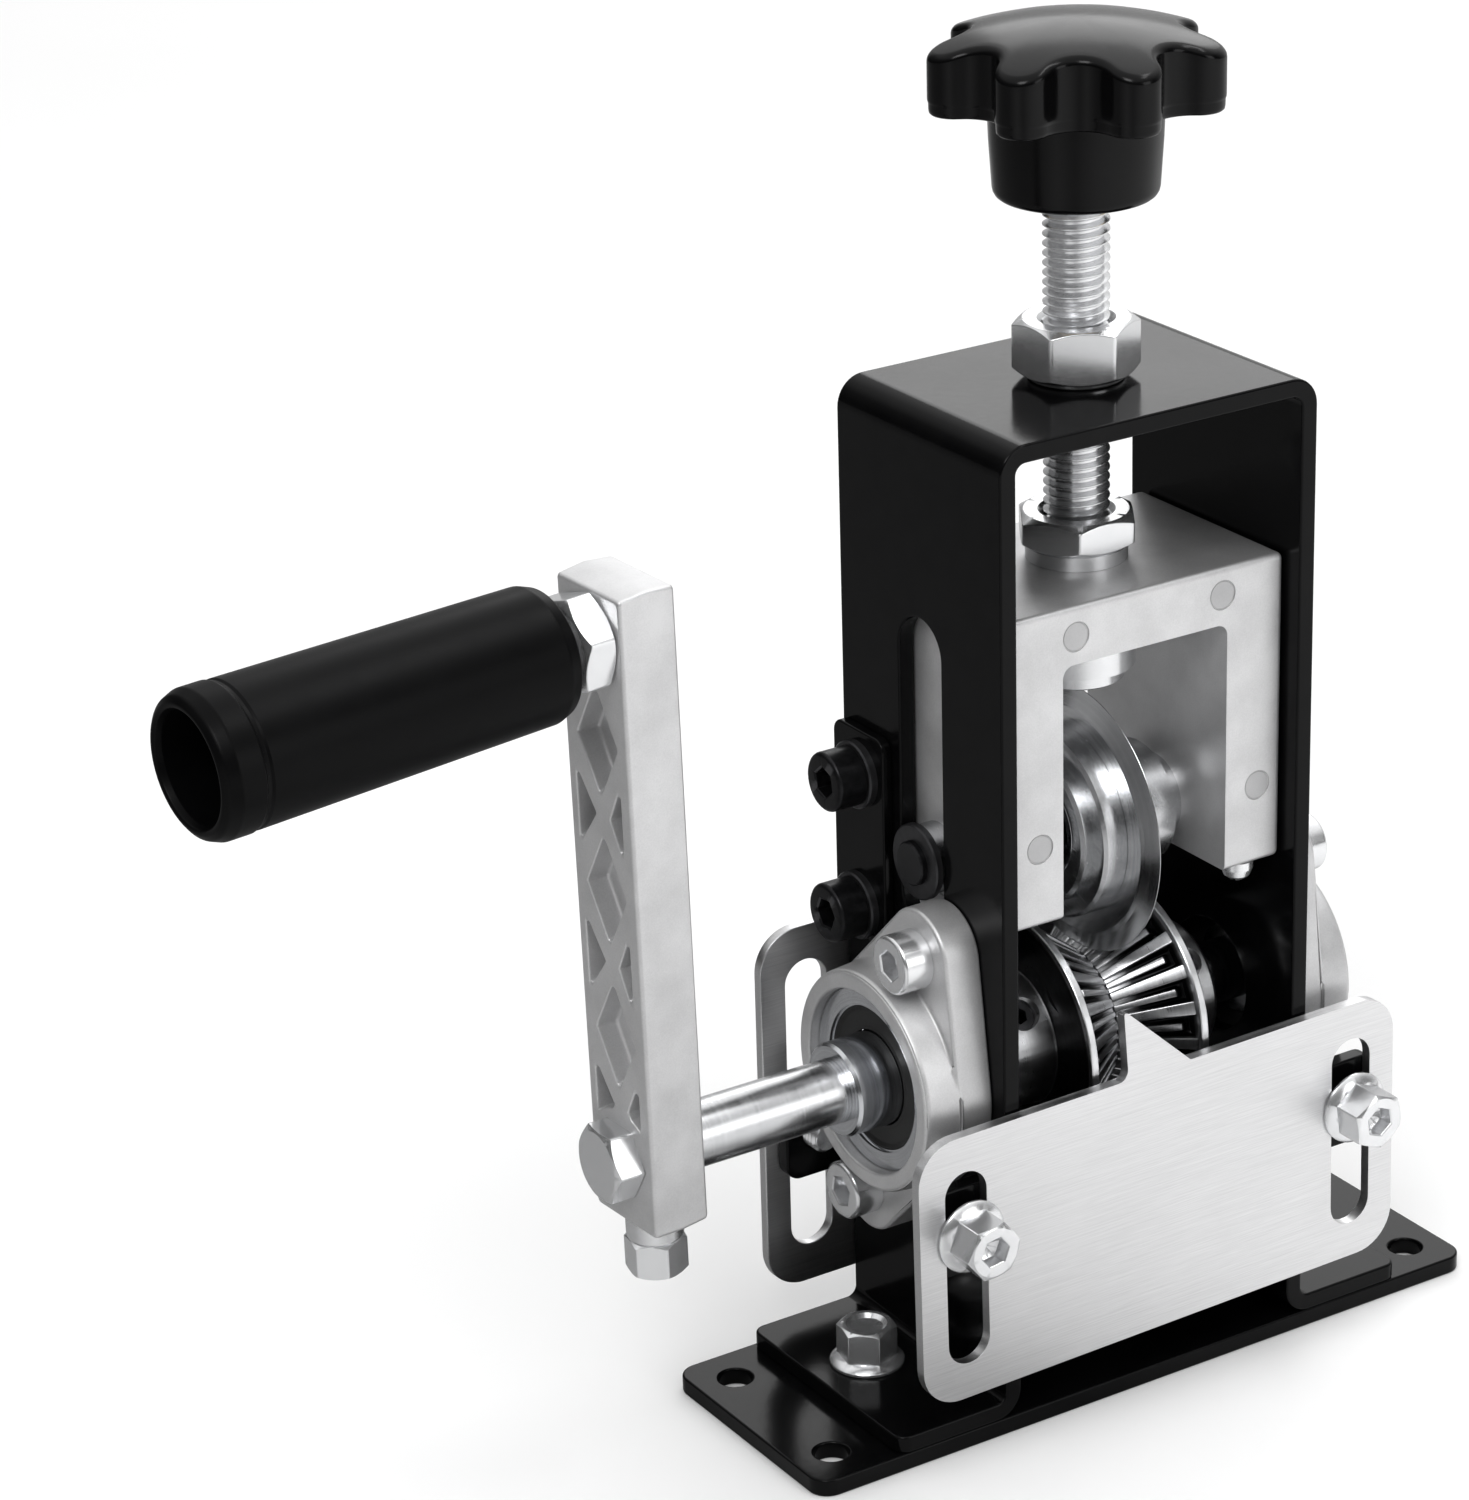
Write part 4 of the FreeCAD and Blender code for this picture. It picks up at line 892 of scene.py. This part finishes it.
def crank_arm_cast():
    x0, x1, zs = -99.0, -87.5, 66.1
    bm = bmesh.new()

    def outline(w, l0, l1, inset):
        pts = [(-w, l0, 0.9), (w, l0, 0.9), (w, l1, 0.7), (-w, l1, 0.7)]
        return fillet2d(offset_poly(pts, inset) if inset else pts, seg=5)

    def ring(x, pts):
        return [(x, a, zs + b) for a, b in pts]
    r = 0.75
    face = (9.1, -12.55, 108.9)
    rings = []
    for k in range(5):
        f = math.radians(22.5 * k)
        rings.append(ring(x0 + r * (1 - math.cos(f)), outline(*face, r * (1 - math.sin(f)))))
    rings.append(ring((x0 + x1) / 2, outline(9.3, -12.7, 109.4, 0)))
    for k in range(4, -1, -1):
        f = math.radians(22.5 * k)
        rings.append(ring(x1 - r * (1 - math.cos(f)), outline(*face, r * (1 - math.sin(f)))))
    loft(bm, rings, CRANK_M)

    def arc(cy, rad, a0, a1, n=4):
        return [(rad * math.cos(math.radians(a0 + (a1 - a0) * k / n)), cy + rad * math.sin(math.radians(a0 + (a1 - a0) * k / n)), 0.0) for k in range(n + 1)]
    pw, fr, py = 5.8, 0.75, -0.3
    pockets = []
    for c in (24.4, 52.65):
        pockets.append([(py, c - 10.5, fr), (py + pw, c, fr), (py, c + 10.5, fr), (py - pw, c, fr)])
    c = 80.95
    pockets.append([(py, c - 10.5, fr), (py + pw, c, fr), (0.47, 90.06, 0.3), (-1.04, 90.1, 0.3), (py - pw, c, fr)])
    pockets.append([(1.5, 10.3, 0.4), (2.19, 9.35, 0.0), (3.3, 9.01, 0.0), (4.6, 8.43, 0.0), (5.8, 7.65, 0.0), (6.8, 6.78, 0.3), (6.8, 17.6, fr)])
    pockets.append([(-6.1, 17.6, fr), (-6.1, 7.41, 0.3), (-5.2, 8.07, 0.0), (-4.2, 8.63, 0.0), (-3.2, 9.05, 0.0), (-2.6, 10.3, 0.4)])
    for c in (38.5, 66.8):
        pockets.append([(1.5, c, 0.5), (6.8, c - 7.3, 0.6), (6.8, c + 7.3, 0.6)])
        pockets.append([(-6.1, c + 7.3, 0.6), (-6.1, c - 7.3, 0.6), (-2.6, c, 0.5)])
    holes = []
    for p in pockets:
        steps = [(-0.35, 0.0), (-0.22, 0.03), (-0.1, 0.1), (-0.03, 0.22), (0.0, 0.38), (0.30, 3.2), (0.36, 3.6), (0.50, 3.95), (0.72, 4.12), (0.95, 4.2)]
        rr = [ring(x0 + dep, fillet2d(offset_poly(p, d), seg=3)) for d, dep in steps]
        loft(bm, rr, CRANK_M)
        holes.append(rr[0])
        cap(bm, [rr[-1]], (-1, 0, 0), CRANK_M)
    cap(bm, [rings[0]] + holes, (-1, 0, 0), CRANK_M)
    cap(bm, [rings[-1]], (1, 0, 0), CRANK_M)
    o = make("crank_arm_cast", bm, "cast_alloy", "drive", ["crank_arm"], angle=40, weld=1e-3)
    return o


crank_arm_cast()

# ---------------------------------------------------------------- front guide plate


def front_plate():
    """Flat plate with two slots and one tooth that is bent back from its top edge."""
    t, top, xl, xr, rf = 2.15, 26.5, -7.6, 6.4, 2.2
    m = Matrix.Translation((-0.6, -25.45 - t, 39.65)) @ Matrix.Rotation(math.radians(-0.85), 4, "Y")
    bend = m @ Matrix.Translation((0, 0, top)) @ Matrix.Rotation(math.radians(-6.0), 4, "X") @ Matrix.Translation((0, 0, -top))
    plate = fillet2d([(-53.8, -26.5, 8.0), (53.8, -26.5, 8.0), (53.8, top, 8.0), (xr, top, 0.0), (xl - rf, top, 0.0), (-53.8, top, 8.0)], seg=10)
    tooth = [(xl - rf, top)] + fillet2d([(xr, top, 0.0), (-6.75, 39.3, 0.6), (-7.5, 39.3, 0.45), (xl, top + rf, 0.0)], closed=False, seg=4)
    tooth += [(xl - rf + rf * math.cos(math.radians(-15 * k)), top + rf + rf * math.sin(math.radians(-15 * k))) for k in range(1, 6)]
    slots = []
    for cx in (-43.75, 43.75):
        slots.append([(cx + 4.5 * math.cos(math.radians(9 * k)), z0 + 4.5 * math.sin(math.radians(9 * k))) for z0, ks in ((14.9, range(21)), (-14.9, range(20, 41))) for k in ks])
    bm = bmesh.new()
    shared = {(xl - rf, top), (xr, top)}
    flat = Matrix.Identity(4)
    for outer, holes, mm in ((plate, slots, m), (tooth, [], bend)):
        loops = [unique(loop) for loop in [outer] + holes]

        def place(x, y, z):
            return tuple((m if abs(z - top) < 1e-6 else mm) @ Vector((x, y, z)))
        for y, ny in ((0.0, -1), (t, 1)):
            cap(bm, [[place(x, y, z) for x, z in loop] for loop in loops], mm.to_3x3() @ Vector((0, ny, 0)), flat)
        for loop in loops:
            for i in range(len(loop)):
                p, q = loop[i - 1], loop[i]
                if {p, q} == shared:
                    continue
                bm.faces.new([bm.verts.new(place(*v)) for v in ((p[0], 0.0, p[1]), (q[0], 0.0, q[1]), (q[0], t, q[1]), (p[0], t, p[1]))])
    return make("guide_plate_front", bm, "brushed_plate", "front_plate", ["front_guide_plate"], angle=30, bevel=0.22, seg=2, weld=2e-3)


def unique(loop):
    out = []
    for p in loop:
        if not out or math.hypot(p[0] - out[-1][0], p[1] - out[-1][1]) > 1e-4:
            out.append(p)
    return out[:-1] if math.hypot(out[0][0] - out[-1][0], out[0][1] - out[-1][1]) < 1e-4 else out


front_plate()

# ---------------------------------------------------------------- cutting blade

bm = bmesh.new()
bx = -0.1
lathe(bm, [(bx - 1.5, 13.5, 0), (bx - 1.5, 21.6, 0.35), (bx - 1.15, 22.4, 0.3), (bx - 0.10, 25.42, 0.04), (bx, 25.5, 0.03), (bx + 0.10, 25.42, 0.04), (bx + 1.15, 22.4, 0.3), (bx + 1.5, 21.6, 0.35),
           (bx + 1.5, 13.5, 0)], put((0, 0, 106.3), (1, 0, 0)), n=180, seg=2)
make("blade_disc", bm, "blade_steel", "blade", ["blade_ring"], angle=30)

# =====================================================================
# floor, light and camera
# =====================================================================


def floor():
    """Pale floor. Its mirror image in glossy surfaces is flagged off on three sides, as with black cards in a studio."""
    bm = bmesh.new()
    bmesh.ops.create_grid(bm, x_segments=40, y_segments=40, size=4.0)
    me = bpy.data.meshes.new("floor")
    bm.to_mesh(me)
    bm.free()
    o = bpy.data.objects.new("floor", me)
    scene.collection.objects.link(o)
    m = Mat("floor_white")
    m.mm.inputs["Scale"].default_value = (1, 1, 1)
    m.set(Roughness=0.9)
    pale = m.ramp(m.noise(scale=3.0, detail=3), [(0.3, (0.86, 0.86, 0.86)), (0.7, (0.88, 0.88, 0.88))])
    x, y, z = m.xyz()
    r = m.math("ADD", m.math("SQRT", m.math("ADD", m.math("MULTIPLY", x, x), m.math("MULTIPLY", y, y))), 0.02)
    side = m.math("DIVIDE", m.math("SUBTRACT", m.math("MULTIPLY", x, 0.68), m.math("MULTIPLY", y, 0.73)), r)
    far = m.ramp(m.range(side, -1.0, 1.0, 0.0, 1.0), [(0.0, 0.25), (0.14, 0.30), (0.38, 0.75), (0.58, 0.40), (0.80, 0.85), (1.0, 1.0)])
    path = m.n.new("ShaderNodeLightPath")
    m.color(m.mix(path.outputs["Is Glossy Ray"], pale, far))
    use_material(o, m.m)
    return o


floor()


def area(name, loc, target, size, power, colour=(1, 1, 1), size_y=None):
    d = bpy.data.lights.new(name, "AREA")
    d.energy = power
    d.color = colour
    d.shape = "RECTANGLE" if size_y else "SQUARE"
    d.size = size
    if size_y:
        d.size_y = size_y
    o = bpy.data.objects.new(name, d)
    o.location = loc
    o.rotation_mode = "QUATERNION"
    o.rotation_quaternion = (Vector(target) - Vector(loc)).to_track_quat("-Z", "Y")
    scene.collection.objects.link(o)
    return o


C = Vector((0.0, 0.0, 0.12))
area("key_left", (-0.9, -0.75, 1.25), C, 0.6, 8)
area("front_low", (0.5, -1.5, 0.55), C, 0.8, 5)
area("back_right", (1.0, 1.25, 0.95), C, 0.7, 2.5)
area("grip_strip", (0.50, -0.20, 1.28), Vector((-0.14, 0.0, 0.165)), 0.9, 2.6, size_y=0.16)


def studio():
    """Soft surround: bright overhead, dim towards the horizon, brighter behind on the right."""
    scene.view_settings.view_transform = "Standard"
    scene.view_settings.gamma = 0.87
    w = bpy.data.worlds.new("studio")
    scene.world = w
    w.use_nodes = True
    t = w.node_tree
    bg = t.nodes["Background"]
    co = t.nodes.new("ShaderNodeTexCoord")
    sep = t.nodes.new("ShaderNodeSeparateXYZ")
    t.links.new(co.outputs["Generated"], sep.inputs[0])
    up = t.nodes.new("ShaderNodeValToRGB")
    cr = up.color_ramp
    stops = [(0.0, 0.15), (0.50, 0.03), (0.60, 0.06), (0.72, 0.22), (0.84, 1.0), (1.0, 1.25)]
    while len(cr.elements) < len(stops):
        cr.elements.new(0.5)
    for e, (p, c) in zip(cr.elements, stops):
        e.position = p
        e.color = (c, c, c, 1)
    half = t.nodes.new("ShaderNodeMath")
    half.operation = "MULTIPLY_ADD"
    half.inputs[1].default_value = 0.5
    half.inputs[2].default_value = 0.5
    t.links.new(sep.outputs[2], half.inputs[0])
    t.links.new(half.outputs[0], up.inputs[0])
    dot = t.nodes.new("ShaderNodeVectorMath")
    dot.operation = "DOT_PRODUCT"
    dot.inputs[1].default_value = (0.86, 0.47, 0.20)
    t.links.new(co.outputs["Generated"], dot.inputs[0])
    side = t.nodes.new("ShaderNodeValToRGB")
    cr = side.color_ramp
    cr.elements[0].position, cr.elements[0].color = 0.45, (0, 0, 0, 1)
    cr.elements[1].position, cr.elements[1].color = 1.0, (0.8, 0.8, 0.8, 1)
    t.links.new(dot.outputs["Value"], side.inputs[0])
    add = t.nodes.new("ShaderNodeMix")
    add.data_type = "RGBA"
    add.blend_type = "ADD"
    sock = {i.identifier: i for i in add.inputs}
    sock["Factor_Float"].default_value = 1.0
    t.links.new(up.outputs[0], sock["A_Color"])
    t.links.new(side.outputs[0], sock["B_Color"])
    t.links.new(next(o for o in add.outputs if o.identifier == "Result_Color"), bg.inputs[0])
    bg.inputs[1].default_value = 1.0


studio()

cam_data = bpy.data.cameras.new("camera")
cam = bpy.data.objects.new("camera", cam_data)
scene.collection.objects.link(cam)
cam_data.sensor_fit = "AUTO"
cam_data.sensor_width = 36.0
cam_data.lens = 4776.6 * 36.0 / 1500.0
cam_data.clip_start, cam_data.clip_end = 0.05, 20
CAM_POS = Vector((-0.473188, -0.648510, 0.453473))
CAM_X = Vector((0.844396, -0.534963, -0.028455))
CAM_Y = Vector((0.227409, 0.309842, 0.923192))
CAM_Z = Vector((-0.485057, -0.786010, 0.383285))
cam.matrix_world = Matrix((
    (CAM_X.x, CAM_Y.x, CAM_Z.x, CAM_POS.x),
    (CAM_X.y, CAM_Y.y, CAM_Z.y, CAM_POS.y),
    (CAM_X.z, CAM_Y.z, CAM_Z.z, CAM_POS.z),
    (0, 0, 0, 1)))
scene.camera = cam
